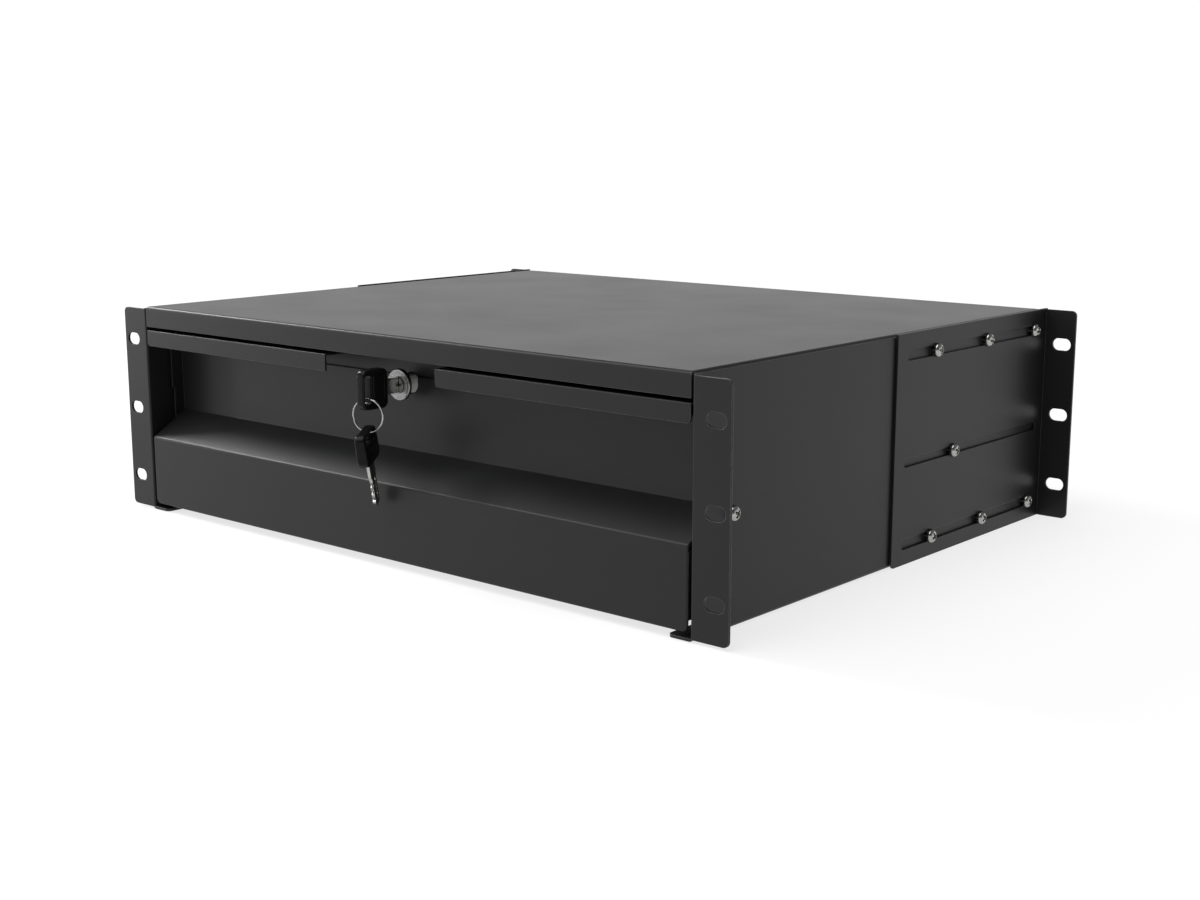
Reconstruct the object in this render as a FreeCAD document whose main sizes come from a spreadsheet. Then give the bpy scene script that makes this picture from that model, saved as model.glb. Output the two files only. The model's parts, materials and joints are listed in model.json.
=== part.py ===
"""Lockable sliding drawer for a 19 inch rack, three units high.

Frame: +X to the right seen from the front, +Y to the back, +Z up, millimetres.
The origin is the centre of the front slot pattern, on the back face of the front ears,
which is the face that meets the rack's front rails.
"""
import FreeCAD, Part
import math
import os
from types import SimpleNamespace

import Sketcher
from FreeCAD import Placement, Rotation, Vector

# Driving dimensions, in millimetres and degrees
SIZES = {
    # Rack interface
    "ear_reach": 21.3,
    "slot_inset": 8.75,
    "row_spacing": 44.45,
    "rack_slot_length": 12.2,
    "rack_slot_height": 7.6,
    # Case
    "case_width": 440.0,
    "case_depth": 356.6,
    "case_top": 66.0,
    "case_drop": 65.4,
    "case_gauge": 1.5,
    "bend_radius": 2.0,
    "ear_height": 128.6,
    "ear_corner": 3.2,
    "ear_fold_radius": 1.2,
    "side_flange": 15.5,
    "cover_rise": 1.2,
    "cover_flange": 7.0,
    "cover_gap": 0.3,
    "lip_gap": 0.9,
    "lip_height": 12.8,
    "rear_flange": 16.0,
    "rear_panel_flange": 8.0,
    "case_joint_gap": 0.1,
    # Rear brackets
    "bracket_start": 178.5,
    "bracket_setback": 2.0,
    "bracket_over": 0.4,
    "bracket_ear_height": 131.5,
    "bracket_chamfer": 2.5,
    "bracket_gap": 0.1,
    "adjust_start": 188.5,
    "adjust_length": 160.0,
    "adjust_height": 6.0,
    "middle_adjust_height": 4.8,
    # Screws on the sides
    "nut_under_cover": 1.0,
    "nut_over_floor": 5.9,
    "screw_end_inset": 8.0,
    "screw_pitch": 60.0,
    "screw_radius": 2.0,
    "screw_fit": 0.05,
    "head_radius": 4.0,
    "head_height": 3.8,
    "head_round": 2.2,
    "recess_arm": 2.1,
    "recess_width": 0.9,
    "recess_depth": 1.8,
    "nut_radius": 4.0,
    "nut_height": 1.8,
    # Ball slides
    "slide_level": -7.0,
    "slide_height": 45.5,
    "slide_width": 12.7,
    "slide_start": 24.5,
    "slide_length": 300.0,
    "slide_gauge": 1.2,
    "outer_reach": 9.5,
    "middle_setback": 2.6,
    "middle_reach": 11.0,
    "inner_setback": 5.6,
    "lip_turn": 2.4,
    "ball_radius": 1.6,
    "ball_clearance": 0.275,
    "ball_pitch": 18.0,
    "cage_gauge": 0.6,
    "cage_length": 140.0,
    "outer_cage_setback": 1.6,
    "outer_cage_reach": 7.8,
    "inner_cage_setback": 4.4,
    "inner_cage_reach": 9.4,
    "slide_screw_front": 29.5,
    "slide_screw_rear": 243.5,
    # Drawer
    "drawer_gauge": 1.2,
    "fold_radius": 1.0,
    "drawer_back": 345.0,
    "floor_clearance": 3.7,
    "drawer_wall_top": 34.0,
    "hem": 8.0,
    "drawer_flange": 14.0,
    "joint_gap": 0.1,
    "front_width": 433.2,
    "front_corner": 3.5,
    "front_return": 12.0,
    "bottom_return": 20.0,
    "ledge_front": -18.0,
    "ledge_back": -2.4,
    "recess_depth_y": 24.0,
    "recess_top": 40.0,
    "cheek_upper": 8.4,
    "cheek_lower": 7.0,
    "cheek_step": 12.5,
    "drawer_screw_head": 3.5,
    "drawer_screw_height": 2.0,
    "drawer_screw_first": 60.0,
    "drawer_screw_pitch": 115.0,
    # Finger rail over the recess
    "rail_width": 434.8,
    "rail_clearance": 2.2,
    "strip_height": 10.0,
    "strip_gap": 90.0,
    "strip_corner": 2.5,
    "rail_depth": 34.0,
    "rail_flange": 8.0,
    "rail_tab": 27.0,
    "rail_tab_width": 6.5,
    # Lock
    "lock_level": 36.0,
    "lock_plate_width": 190.0,
    "lock_plate_bottom": 12.0,
    "lock_plate_gauge": 1.5,
    "lock_face": 13.1,
    "lock_face_radius": 9.05,
    "lock_face_thick": 2.2,
    "lock_face_round": 0.8,
    "barrel_radius": 6.0,
    "barrel_flats": 10.0,
    "barrel_end": 40.0,
    "barrel_hole_fit": 0.1,
    "plug_radius": 4.4,
    "plug_fit": 0.05,
    "plug_proud": 0.4,
    "plug_square": 6.0,
    "keyway_width": 2.5,
    "keyway_height": 7.6,
    "keyway_depth": 18.0,
    "lock_nut_flats": 17.0,
    "lock_nut_height": 4.0,
    "cam_gap": 0.3,
    "cam_thick": 2.0,
    "cam_width": 11.0,
    "cam_reach": 24.0,
    "cam_square_fit": 0.05,
    "cam_screw_radius": 1.5,
    "cam_screw_head": 3.6,
    "cam_screw_height": 2.4,
    "cam_screw_length": 7.0,
    "strike_width": 44.0,
    "strike_clearance": 1.8,
    "strike_over_rail": 3.0,
    "strike_flange": 15.0,
    # Keys and their ring
    "bow_length": 18.7,
    "bow_width": 22.4,
    "bow_thick": 6.0,
    "bow_corner": 4.0,
    "bow_panel": 0.4,
    "bow_panel_inset": 3.0,
    "ring_slot_length": 16.2,
    "ring_slot_width": 4.8,
    "ring_slot_inset": 3.8,
    "shoulder_length": 9.1,
    "shoulder_height": 8.6,
    "blade_thick": 2.0,
    "blade_height": 7.0,
    "blade_length": 17.0,
    "blade_tip": 2.4,
    "tang_length": 8.0,
    "tang_height": 6.0,
    "tang_fit": 0.05,
    "key_face_gap": 0.5,
    "ring_radius": 9.2,
    "ring_wire": 0.8,
    "ring_shift": 1.5,
    "ring_rise": 0.7,
    "ring_turn": 20.0,
    "spare_drop": 0.5,
    "spare_turn": 29.9,
    "spare_pitch": -4.0,
    "spare_tilt": 12.0,
}

BRACKET_SCREWS_IN_ROW = 3
DRAWER_SCREWS_IN_ROW = 3
BALLS_IN_ROW = 8
KEY_CUTS = (1.1, 0.4, 1.5, 0.8, 1.7, 0.5)
TOLERANCE = 1e-4

doc = FreeCAD.newDocument("RackDrawer")
sheet = doc.addObject("Spreadsheet::Sheet", "Sizes")


class Size:
    """A length that carries its number and the spreadsheet formula that gives it."""

    def __init__(self, number, text):
        self.number = number
        self.text = text

    def __add__(self, other):
        other = as_size(other)
        return Size(self.number + other.number, f"({self.text} + {other.text})")

    def __radd__(self, other):
        return as_size(other) + self

    def __sub__(self, other):
        other = as_size(other)
        return Size(self.number - other.number, f"({self.text} - {other.text})")

    def __rsub__(self, other):
        return as_size(other) - self

    def __mul__(self, other):
        other = as_size(other)
        return Size(self.number * other.number, f"({self.text} * {other.text})")

    def __rmul__(self, other):
        return as_size(other) * self

    def __truediv__(self, other):
        other = as_size(other)
        return Size(self.number / other.number, f"({self.text} / {other.text})")

    def __neg__(self):
        return Size(-self.number, f"(-1 * {self.text})")


def as_size(value):
    if isinstance(value, Size):
        return value
    return Size(float(value), f"({float(value)})")


def square_root(value):
    return Size(math.sqrt(value.number), f"sqrt({value.text})")


def tangent(degrees):
    return Size(math.tan(math.radians(degrees.number)), f"tan({degrees.text})")


def fill_sheet():
    """One row for each driving dimension: its name and its plain number under an alias."""
    cells = SimpleNamespace()
    for row, (name, number) in enumerate(SIZES.items(), start=1):
        sheet.set(f"A{row}", name)
        sheet.set(f"B{row}", str(number))
        sheet.setAlias(f"B{row}", name)
        setattr(cells, name, Size(number, f"Sizes.{name}"))
    doc.recompute()
    return cells


dim = fill_sheet()
nodes = []


# Sketch outlines. Each returns a function that draws the outline in a sketch.

def place_point(sketch, geometry, end, x, y):
    """Holds a point of the sketch at two spreadsheet lengths from the sketch's origin."""
    for kind, length in (("DistanceX", as_size(x)), ("DistanceY", as_size(y))):
        index = sketch.addConstraint(Sketcher.Constraint(kind, -1, 1, geometry, end, length.number))
        sketch.setExpression(f"Constraints[{index}]", length.text)


def hold_radius(sketch, geometry, radius):
    index = sketch.addConstraint(Sketcher.Constraint("Radius", geometry, radius.number))
    sketch.setExpression(f"Constraints[{index}]", radius.text)


def polygon(points):
    points = [(as_size(x), as_size(y)) for x, y in points]

    def draw(sketch):
        first = sketch.GeometryCount
        corners = [Vector(x.number, y.number, 0) for x, y in points]
        count = len(corners)
        for i in range(count):
            sketch.addGeometry(Part.LineSegment(corners[i], corners[(i + 1) % count]), False)
        for i in range(count):
            following = first + (i + 1) % count
            sketch.addConstraint(Sketcher.Constraint("Coincident", first + i, 2, following, 1))
        for i, (x, y) in enumerate(points):
            place_point(sketch, first + i, 1, x, y)

    return draw


def rectangle(x_low, x_high, y_low, y_high):
    return polygon([(x_low, y_low), (x_high, y_low), (x_high, y_high), (x_low, y_high)])


def circle(x, y, radius):
    x, y, radius = as_size(x), as_size(y), as_size(radius)

    def draw(sketch):
        centre = Vector(x.number, y.number, 0)
        index = sketch.addGeometry(Part.Circle(centre, Vector(0, 0, 1), radius.number), False)
        place_point(sketch, index, 3, x, y)
        hold_radius(sketch, index, radius)

    return draw


def slot(x, y, length, width, upright=False):
    """A slot with round ends, centred on a point, along the sketch's x, or y if upright."""
    x, y, length, width = as_size(x), as_size(y), as_size(length), as_size(width)
    reach = (length - width) / 2
    radius = width / 2

    def draw(sketch):
        turn = math.pi / 2 if upright else 0.0
        along = (0, 1) if upright else (1, 0)
        ends = [(x + reach * along[0] * sign, y + reach * along[1] * sign) for sign in (1, -1)]
        arcs = []
        for (end_x, end_y), start in zip(ends, (-math.pi / 2, math.pi / 2)):
            round_end = Part.Circle(Vector(end_x.number, end_y.number, 0), Vector(0, 0, 1), radius.number)
            arc = Part.ArcOfCircle(round_end, start + turn, start + turn + math.pi)
            arcs.append(sketch.addGeometry(arc, False))
        lines = []
        for here, there in (arcs, arcs[::-1]):
            begin = sketch.getPoint(here, 2)
            finish = sketch.getPoint(there, 1)
            lines.append(sketch.addGeometry(Part.LineSegment(begin, finish), False))
        for line, here, there in zip(lines, arcs, arcs[::-1]):
            sketch.addConstraint(Sketcher.Constraint("Tangent", here, 2, line, 1))
            sketch.addConstraint(Sketcher.Constraint("Tangent", line, 2, there, 1))
        for arc, (end_x, end_y) in zip(arcs, ends):
            place_point(sketch, arc, 3, end_x, end_y)
            hold_radius(sketch, arc, radius)

    return draw


def corner_waste(x, y, radius, sign_x, sign_y):
    """What a round takes off a square corner. The signs say which way the corner points."""
    x, y, radius = as_size(x), as_size(y), as_size(radius)
    centre_x, centre_y = x - radius * sign_x, y - radius * sign_y
    quarter = {(1, 1): 0, (-1, 1): 1, (-1, -1): 2, (1, -1): 3}[(sign_x, sign_y)]

    def draw(sketch):
        centre = Vector(centre_x.number, centre_y.number, 0)
        ring = Part.Circle(centre, Vector(0, 0, 1), radius.number)
        start = quarter * math.pi / 2
        arc = sketch.addGeometry(Part.ArcOfCircle(ring, start, start + math.pi / 2), False)
        corner = Vector(x.number, y.number, 0)
        there = sketch.addGeometry(Part.LineSegment(sketch.getPoint(arc, 2), corner), False)
        back = sketch.addGeometry(Part.LineSegment(corner, sketch.getPoint(arc, 1)), False)
        sketch.addConstraint(Sketcher.Constraint("Tangent", arc, 2, there, 1))
        sketch.addConstraint(Sketcher.Constraint("Coincident", there, 2, back, 1))
        sketch.addConstraint(Sketcher.Constraint("Tangent", back, 2, arc, 1))
        place_point(sketch, arc, 3, centre_x, centre_y)
        place_point(sketch, there, 2, x, y)
        hold_radius(sketch, arc, radius)

    return draw


# Solid features

def new_body(label):
    body = doc.addObject("PartDesign::Body", label)
    body.Label = label
    return body


def new_sketch(body, plane, level, outlines):
    """A sketch parallel to a principal plane. The XZ plane's normal points to -Y."""
    sketch = body.newObject("Sketcher::SketchObject", body.Name + "_sketch")
    origin = {feature.Role: feature for feature in body.Origin.OriginFeatures}
    sketch.AttachmentSupport = [(origin[plane + "_Plane"], "")]
    sketch.MapMode = "FlatFace"
    level = as_size(level)
    if plane == "XZ":
        level = -level
    sketch.setExpression(".AttachmentOffset.Base.z", level.text)
    for draw in outlines:
        draw(sketch)
    return sketch


def new_feature(body, kind, sketch, length):
    feature = body.newObject("PartDesign::" + kind, body.Name + "_" + kind.lower())
    feature.Profile = sketch
    feature.setExpression("Length", length.text)
    body.Tip = feature
    return feature


def add_slab(body, plane, low, high, *outlines):
    """Material between two levels of a principal plane, inside the outlines."""
    low, high = as_size(low), as_size(high)
    start = high if plane == "XZ" else low
    return new_feature(body, "Pad", new_sketch(body, plane, start, outlines), high - low)


def cut_slab(body, plane, low, high, *outlines):
    """Takes away what lies between two levels of a principal plane, inside the outlines."""
    low, high = as_size(low), as_size(high)
    start = low if plane == "XZ" else high
    return new_feature(body, "Pocket", new_sketch(body, plane, start, outlines), high - low)


def edges_along(shape, axis, spots):
    """Names of the straight edges along one axis that stand on the given spots.

    A spot is the pair of the other two coordinates, in X, Y, Z order.
    """
    names = []
    for number, edge in enumerate(shape.Edges, start=1):
        if len(edge.Vertexes) != 2:
            continue
        ends = [[vertex.X, vertex.Y, vertex.Z] for vertex in edge.Vertexes]
        across = [[end[i] for i in range(3) if i != axis] for end in ends]
        for spot in spots:
            target = [as_size(value).number for value in spot]
            gaps = [abs(end[i] - target[i]) for end in across for i in range(2)]
            if max(gaps) < TOLERANCE:
                names.append(f"Edge{number}")
                break
    return names


def round_edges(body, radius, names):
    base = body.Tip
    feature = body.newObject("PartDesign::Fillet", body.Name + "_round")
    feature.Base = (base, names)
    feature.setExpression("Radius", as_size(radius).text)
    body.Tip = feature


def round_along(body, axis, radius, *spots):
    """Rounds the straight edges along an axis (0, 1 or 2) that stand on the given spots."""
    doc.recompute()
    round_edges(body, radius, edges_along(body.Tip.Shape, axis, spots))


def round_circle(body, radius, axis, level, edge_radius):
    """Rounds the circular edge of one radius that lies at one level of an axis."""
    doc.recompute()
    names = []
    for number, edge in enumerate(body.Tip.Shape.Edges, start=1):
        curve = edge.Curve
        if not isinstance(curve, Part.Circle):
            continue
        near = abs(curve.Center[axis] - level.number) < TOLERANCE
        if near and abs(curve.Radius - edge_radius.number) < TOLERANCE:
            names.append(f"Edge{number}")
    round_edges(body, radius, names)


def keep(node):
    nodes.append(node)
    return node


def mirrored(source, label):
    """The same piece for the left side, mirrored across the middle plane."""
    mirror = doc.addObject("Part::Mirroring", label)
    mirror.Label = label
    mirror.Source = source
    mirror.Normal = Vector(1, 0, 0)
    return keep(mirror)


def keep_pair(right, stem):
    """Keeps a right-hand piece and its mirrored twin."""
    right.Label = stem + "_right"
    keep(right)
    mirrored(right, stem + "_left")


def copies(label, placed):
    """One group of copies. placed holds pairs of a master piece and its x, y, z and turn about Z."""
    links = []
    for number, (master, x, y, z, turn) in enumerate(placed, start=1):
        link = doc.addObject("App::Link", f"{label}_{number}")
        link.LinkedObject = master
        link.Placement = Placement(Vector(0, 0, 0), Rotation(Vector(0, 0, 1), turn))
        for axis, value in zip("xyz", (x, y, z)):
            link.setExpression(f".Placement.Base.{axis}", as_size(value).text)
        links.append(link)
    group = doc.addObject("Part::Compound", label)
    group.Label = label
    group.Links = links
    return group


# Places that several pieces share

half_case = dim.case_width / 2
half_panel = half_case + dim.ear_reach
wall_inside = half_case - dim.case_gauge
case_front = -dim.case_gauge
case_back = case_front + dim.case_depth
case_bottom = -dim.case_drop
wall_top = dim.case_top - dim.cover_rise
cover_under = dim.case_top - dim.case_gauge
half_cover = wall_inside - dim.cover_gap
cover_flange_end = dim.case_top - dim.cover_flange
lower_screw_row = case_bottom + dim.case_gauge + dim.nut_over_floor + dim.nut_radius
upper_screw_row = cover_flange_end - dim.nut_under_cover - dim.nut_radius
screw_rows = (lower_screw_row, upper_screw_row)
half_ear = dim.ear_height / 2
bracket_inside = half_case + dim.bracket_gap
bracket_outside = bracket_inside + dim.case_gauge
bracket_top = dim.case_top + dim.bracket_over
bracket_bottom = case_bottom - dim.bracket_over
head_seat = bracket_outside + dim.bracket_gap
drawer_outside = wall_inside - dim.slide_width
drawer_inside = drawer_outside - dim.drawer_gauge
drawer_bottom = case_bottom + dim.case_gauge + dim.floor_clearance
floor_top = drawer_bottom + dim.drawer_gauge
front_face = case_front
recess_face = front_face + dim.recess_depth_y
recess_back = recess_face + dim.drawer_gauge
half_front = dim.front_width / 2
half_rail = dim.rail_width / 2
rail_top = dim.case_top - dim.lip_height - dim.rail_clearance
rail_under = rail_top - dim.drawer_gauge
strike_bottom = rail_top + dim.strike_over_rail
rail_back = front_face + dim.rail_depth
plate_back = recess_back + dim.lock_plate_gauge
screw_hole = dim.screw_radius + dim.screw_fit


def rack_slots(side):
    """The three rack slots of one ear, side 1 for the right ear and -1 for the left."""
    x = (half_panel - dim.slot_inset) * side
    rows = [dim.row_spacing * row for row in (-1, 0, 1)]
    return [slot(x, z, dim.rack_slot_length, dim.rack_slot_height) for z in rows]


def bracket_screw_places():
    """Y and Z of the six bracket screws on one side, counted from the rear end of the long slots."""
    places = []
    last = dim.adjust_start + dim.adjust_length - dim.screw_end_inset
    for column in reversed(range(BRACKET_SCREWS_IN_ROW)):
        for row in screw_rows:
            places.append((last - dim.screw_pitch * column, row))
    return places


# Case

def build_side_panel():
    """A wall with an ear folded out at the front and a flange folded in along the bottom."""
    body = new_body("side_panel_right")
    flange_end = half_case - dim.side_flange
    section = [
        (half_case, case_bottom),
        (half_case, wall_top),
        (wall_inside, wall_top),
        (wall_inside, case_bottom + dim.case_gauge),
        (flange_end, case_bottom + dim.case_gauge),
        (flange_end, case_bottom),
    ]
    add_slab(body, "XZ", case_front, case_back, polygon(section))
    add_slab(body, "XZ", case_front, 0, rectangle(wall_inside, half_panel, -half_ear, half_ear))
    round_along(body, 1, dim.bend_radius, (half_case, case_bottom))
    round_along(body, 1, dim.ear_corner, (half_panel, half_ear), (half_panel, -half_ear))
    round_along(body, 2, dim.ear_fold_radius, (wall_inside, case_front))
    round_along(body, 2, dim.ear_corner, (flange_end, case_front))
    cut_slab(body, "XZ", case_front, 0, *rack_slots(1))
    holes = [circle(y, z, screw_hole) for y, z in bracket_screw_places()]
    for y in (dim.slide_screw_front, dim.slide_screw_rear):
        holes.append(circle(y, dim.slide_level, screw_hole))
    cut_slab(body, "YZ", wall_inside, half_case, *holes)
    keep_pair(body, "side_panel")


def build_top_cover():
    """A shallow pan between the walls, a little higher. Its front fold is the lip, free at both ends."""
    body = new_body("top_cover")
    half_lip = wall_inside - dim.lip_gap
    plate = rectangle(-half_cover, half_cover, case_front, case_back)
    add_slab(body, "XY", cover_under, dim.case_top, plate)
    lip = rectangle(-half_cover, half_cover, dim.case_top - dim.lip_height, dim.case_top)
    add_slab(body, "XZ", case_front, 0, lip)
    flange = rectangle(-half_cover, half_cover, dim.case_top - dim.rear_flange, dim.case_top)
    add_slab(body, "XZ", case_back - dim.case_gauge, case_back, flange)
    for side in (-1, 1):
        edge = half_cover * side
        inner = edge - dim.case_gauge * side
        low, high = (inner, edge) if side > 0 else (edge, inner)
        fold = rectangle(low, high, case_front, case_back)
        add_slab(body, "XY", cover_flange_end, dim.case_top, fold)
    sides = [corner_waste(half_cover * side, dim.case_top, dim.bend_radius, side, 1) for side in (-1, 1)]
    cut_slab(body, "XZ", case_front, case_back, *sides)
    ends = [corner_waste(y, dim.case_top, dim.bend_radius, side, 1)
            for y, side in ((case_front, -1), (case_back, 1))]
    cut_slab(body, "YZ", -half_cover, half_cover, *ends)
    reliefs = [rectangle(low, high, case_front, dim.case_gauge)
               for low, high in ((half_lip, half_cover), (-half_cover, -half_lip))]
    cut_slab(body, "XY", dim.case_top - dim.lip_height, dim.case_top, *reliefs)
    keep(body)


def build_rear_panel():
    """A plate across the back that ties the two sides, with flanges folded forward along them."""
    body = new_body("rear_panel")
    back = case_back - dim.case_gauge
    front = back - dim.case_gauge
    half_width = wall_inside - dim.case_joint_gap
    bottom = case_bottom + dim.case_gauge + dim.case_joint_gap
    top = cover_flange_end - dim.case_joint_gap
    add_slab(body, "XZ", front, back, rectangle(-half_width, half_width, bottom, top))
    for side in (-1, 1):
        edge = half_width * side
        inner = edge - dim.case_gauge * side
        low, high = (inner, edge) if side > 0 else (edge, inner)
        add_slab(body, "XY", bottom, top, rectangle(low, high, back - dim.rear_panel_flange, back))
    round_along(body, 2, dim.bend_radius, (half_width, back), (-half_width, back))
    keep(body)


def build_strike_plate():
    """An angle under the cover. The raised cam stands behind its leg."""
    body = new_body("strike_plate")
    leg_back = dim.barrel_end + dim.cam_gap - dim.strike_clearance
    leg_front = leg_back - dim.case_gauge
    half_width = dim.strike_width / 2
    top = cover_under - dim.case_joint_gap
    section = [
        (leg_back, strike_bottom),
        (leg_back, top),
        (leg_back - dim.strike_flange, top),
        (leg_back - dim.strike_flange, top - dim.case_gauge),
        (leg_front, top - dim.case_gauge),
        (leg_front, strike_bottom),
    ]
    add_slab(body, "YZ", -half_width, half_width, polygon(section))
    round_along(body, 0, dim.bend_radius, (leg_back, top))
    keep(body)


def build_rear_bracket():
    """A plate along the side's outside with three long slots and an ear folded out at the back."""
    body = new_body("rear_bracket_right")
    ear_front = case_back + dim.bracket_setback
    ear_back = ear_front + dim.case_gauge
    half_bracket_ear = dim.bracket_ear_height / 2
    outline = [
        (dim.bracket_start, bracket_top),
        (ear_back, bracket_top),
        (ear_back, bracket_bottom),
        (dim.bracket_start + dim.bracket_chamfer, bracket_bottom),
        (dim.bracket_start, bracket_bottom + dim.bracket_chamfer),
    ]
    add_slab(body, "YZ", bracket_inside, bracket_outside, polygon(outline))
    ear = rectangle(bracket_inside, half_panel, -half_bracket_ear, half_bracket_ear)
    add_slab(body, "XZ", ear_front, ear_back, ear)
    round_along(body, 1, dim.ear_corner, (half_panel, half_bracket_ear), (half_panel, -half_bracket_ear))
    round_along(body, 2, dim.bend_radius, (bracket_inside, ear_back))
    cut_slab(body, "XZ", ear_front, ear_back, *rack_slots(1))
    middle = dim.adjust_start + dim.adjust_length / 2
    slots = [slot(middle, row, dim.adjust_length, dim.adjust_height) for row in screw_rows]
    slots.append(slot(middle, dim.slide_level, dim.adjust_length, dim.middle_adjust_height))
    cut_slab(body, "YZ", bracket_inside, bracket_outside, *slots)
    keep_pair(body, "rear_bracket")


# Screws and nuts

def cross(arm, half_width):
    """The outline of a cross recess around the sketch's origin."""
    points = []
    for turn in range(4):
        corner = [(arm, -half_width), (arm, half_width), (half_width, half_width)]
        for x, y in corner:
            for step in range(turn):
                x, y = -y, x
            points.append((x, y))
    return polygon(points)


def build_screw(label, length, head_radius, head_height, radius):
    """A pan head screw along X: its head is on +X and its seat is at x = 0."""
    body = new_body(label)
    add_slab(body, "YZ", -length, head_height, circle(0, 0, radius))
    add_slab(body, "YZ", 0, head_height, circle(0, 0, head_radius))
    share = dim.head_round / dim.head_height
    round_circle(body, head_height * share, 0, head_height, head_radius)
    recess = cross(dim.recess_arm, dim.recess_width / 2)
    cut_slab(body, "YZ", head_height * (1 - dim.recess_depth / dim.head_height), head_height, recess)
    return body


def build_side_screws():
    nut_inside = wall_inside - dim.nut_height
    long_screw = build_screw("bracket_screw", head_seat - nut_inside, dim.head_radius,
                             dim.head_height, dim.screw_radius)
    placed = [(long_screw, head_seat, y, z, 0) for y, z in bracket_screw_places()]
    keep_pair(copies("bracket_screws", placed), "bracket_screws")

    nut = new_body("clinch_nut")
    add_slab(nut, "YZ", -dim.nut_height, 0, circle(0, 0, dim.nut_radius))
    cut_slab(nut, "YZ", -dim.nut_height, 0, circle(0, 0, screw_hole))
    placed = [(nut, wall_inside, y, z, 0) for y, z in bracket_screw_places()]
    keep_pair(copies("clinch_nuts", placed), "clinch_nuts")

    thread_end = wall_inside - dim.slide_gauge
    front = build_screw("slide_screw_short", half_case - thread_end, dim.head_radius,
                        dim.head_height, dim.screw_radius)
    rear = build_screw("slide_screw_long", head_seat - thread_end, dim.head_radius,
                       dim.head_height, dim.screw_radius)
    placed = [
        (front, half_case, dim.slide_screw_front, dim.slide_level, 0),
        (rear, head_seat, dim.slide_screw_rear, dim.slide_level, 0),
    ]
    keep_pair(copies("slide_screws", placed), "slide_screws")


# Ball slides, right side. Setbacks are measured from the case wall towards the drawer.

def channel(web, opening, half_height, gauge, turn):
    """A C section: web at one x, open towards another, its two lips turned to the middle by turn."""
    step = gauge if opening.number > web.number else -gauge
    level = dim.slide_level
    top, bottom = level + half_height, level - half_height
    return polygon([
        (web, bottom),
        (web, top),
        (opening, top),
        (opening, top - turn),
        (opening - step, top - turn),
        (opening - step, top - gauge),
        (web + step, top - gauge),
        (web + step, bottom + gauge),
        (opening - step, bottom + gauge),
        (opening - step, bottom + turn),
        (opening, bottom + turn),
        (opening, bottom),
    ])


def plain_channel(web, opening, half_height, gauge):
    """A C section without lips."""
    step = gauge if opening.number > web.number else -gauge
    level = dim.slide_level
    top, bottom = level + half_height, level - half_height
    return polygon([
        (web, bottom),
        (web, top),
        (opening, top),
        (opening, top - gauge),
        (web + step, top - gauge),
        (web + step, bottom + gauge),
        (opening, bottom + gauge),
        (opening, bottom),
    ])


race_gap = (dim.ball_radius + dim.ball_clearance) * 2
outer_half = dim.slide_height / 2
middle_half = outer_half - dim.slide_gauge - race_gap
inner_half = middle_half - dim.slide_gauge - race_gap
outer_ball_row = outer_half - dim.slide_gauge - race_gap / 2
inner_ball_row = middle_half - dim.slide_gauge - race_gap / 2
slide_end = dim.slide_start + dim.slide_length
slide_middle = dim.slide_start + dim.slide_length / 2


def drawer_screw_places():
    return [dim.drawer_screw_first + dim.drawer_screw_pitch * i for i in range(DRAWER_SCREWS_IN_ROW)]


def build_slide_members():
    outer = new_body("slide_outer_right")
    section = channel(wall_inside, wall_inside - dim.outer_reach, outer_half, dim.slide_gauge, dim.lip_turn)
    add_slab(outer, "XZ", dim.slide_start, slide_end, section)
    holes = [circle(y, dim.slide_level, screw_hole) for y in (dim.slide_screw_front, dim.slide_screw_rear)]
    cut_slab(outer, "YZ", wall_inside - dim.slide_gauge, wall_inside, *holes)
    keep_pair(outer, "slide_outer")

    middle = new_body("slide_middle_right")
    section = channel(wall_inside - dim.middle_setback, wall_inside - dim.middle_reach, middle_half,
                      dim.slide_gauge, dim.lip_turn)
    add_slab(middle, "XZ", dim.slide_start, slide_end, section)
    keep_pair(middle, "slide_middle")

    inner = new_body("slide_inner_right")
    section = plain_channel(drawer_outside, wall_inside - dim.inner_setback, inner_half, dim.slide_gauge)
    add_slab(inner, "XZ", dim.slide_start, slide_end, section)
    holes = [circle(y, dim.slide_level, screw_hole) for y in drawer_screw_places()]
    cut_slab(inner, "YZ", drawer_outside, drawer_outside + dim.slide_gauge, *holes)
    keep_pair(inner, "slide_inner")


def build_ball_cage(stem, setback, reach, ball_row):
    """A thin channel that holds two rows of balls, one in the upper and one in the lower race."""
    web = wall_inside - setback
    opening = wall_inside - reach
    ball_x = (web - dim.cage_gauge + opening) / 2
    cage_start = slide_middle - dim.cage_length / 2
    rows_y = [slide_middle + dim.ball_pitch * (i - (BALLS_IN_ROW - 1) / 2) for i in range(BALLS_IN_ROW)]
    half_height = ball_row + dim.cage_gauge / 2
    cage = new_body(stem + "_cage_right")
    section = plain_channel(web, opening, half_height, dim.cage_gauge)
    add_slab(cage, "XZ", cage_start, cage_start + dim.cage_length, section)
    pockets = [circle(ball_x, y, dim.ball_radius + dim.screw_fit) for y in rows_y]
    cut_slab(cage, "XY", dim.slide_level - half_height, dim.slide_level + half_height, *pockets)
    keep_pair(cage, stem + "_cage")

    balls = []
    for row in (-1, 1):
        for y in rows_y:
            ball = doc.addObject("Part::Sphere", stem + "_ball")
            ball.setExpression("Radius", dim.ball_radius.text)
            for axis, value in zip("xyz", (ball_x, y, dim.slide_level + ball_row * row)):
                ball.setExpression(f".Placement.Base.{axis}", value.text)
            balls.append(ball)
    group = doc.addObject("Part::Compound", stem + "_balls_right")
    group.Links = balls
    keep_pair(group, stem + "_balls")


# Drawer

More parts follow.
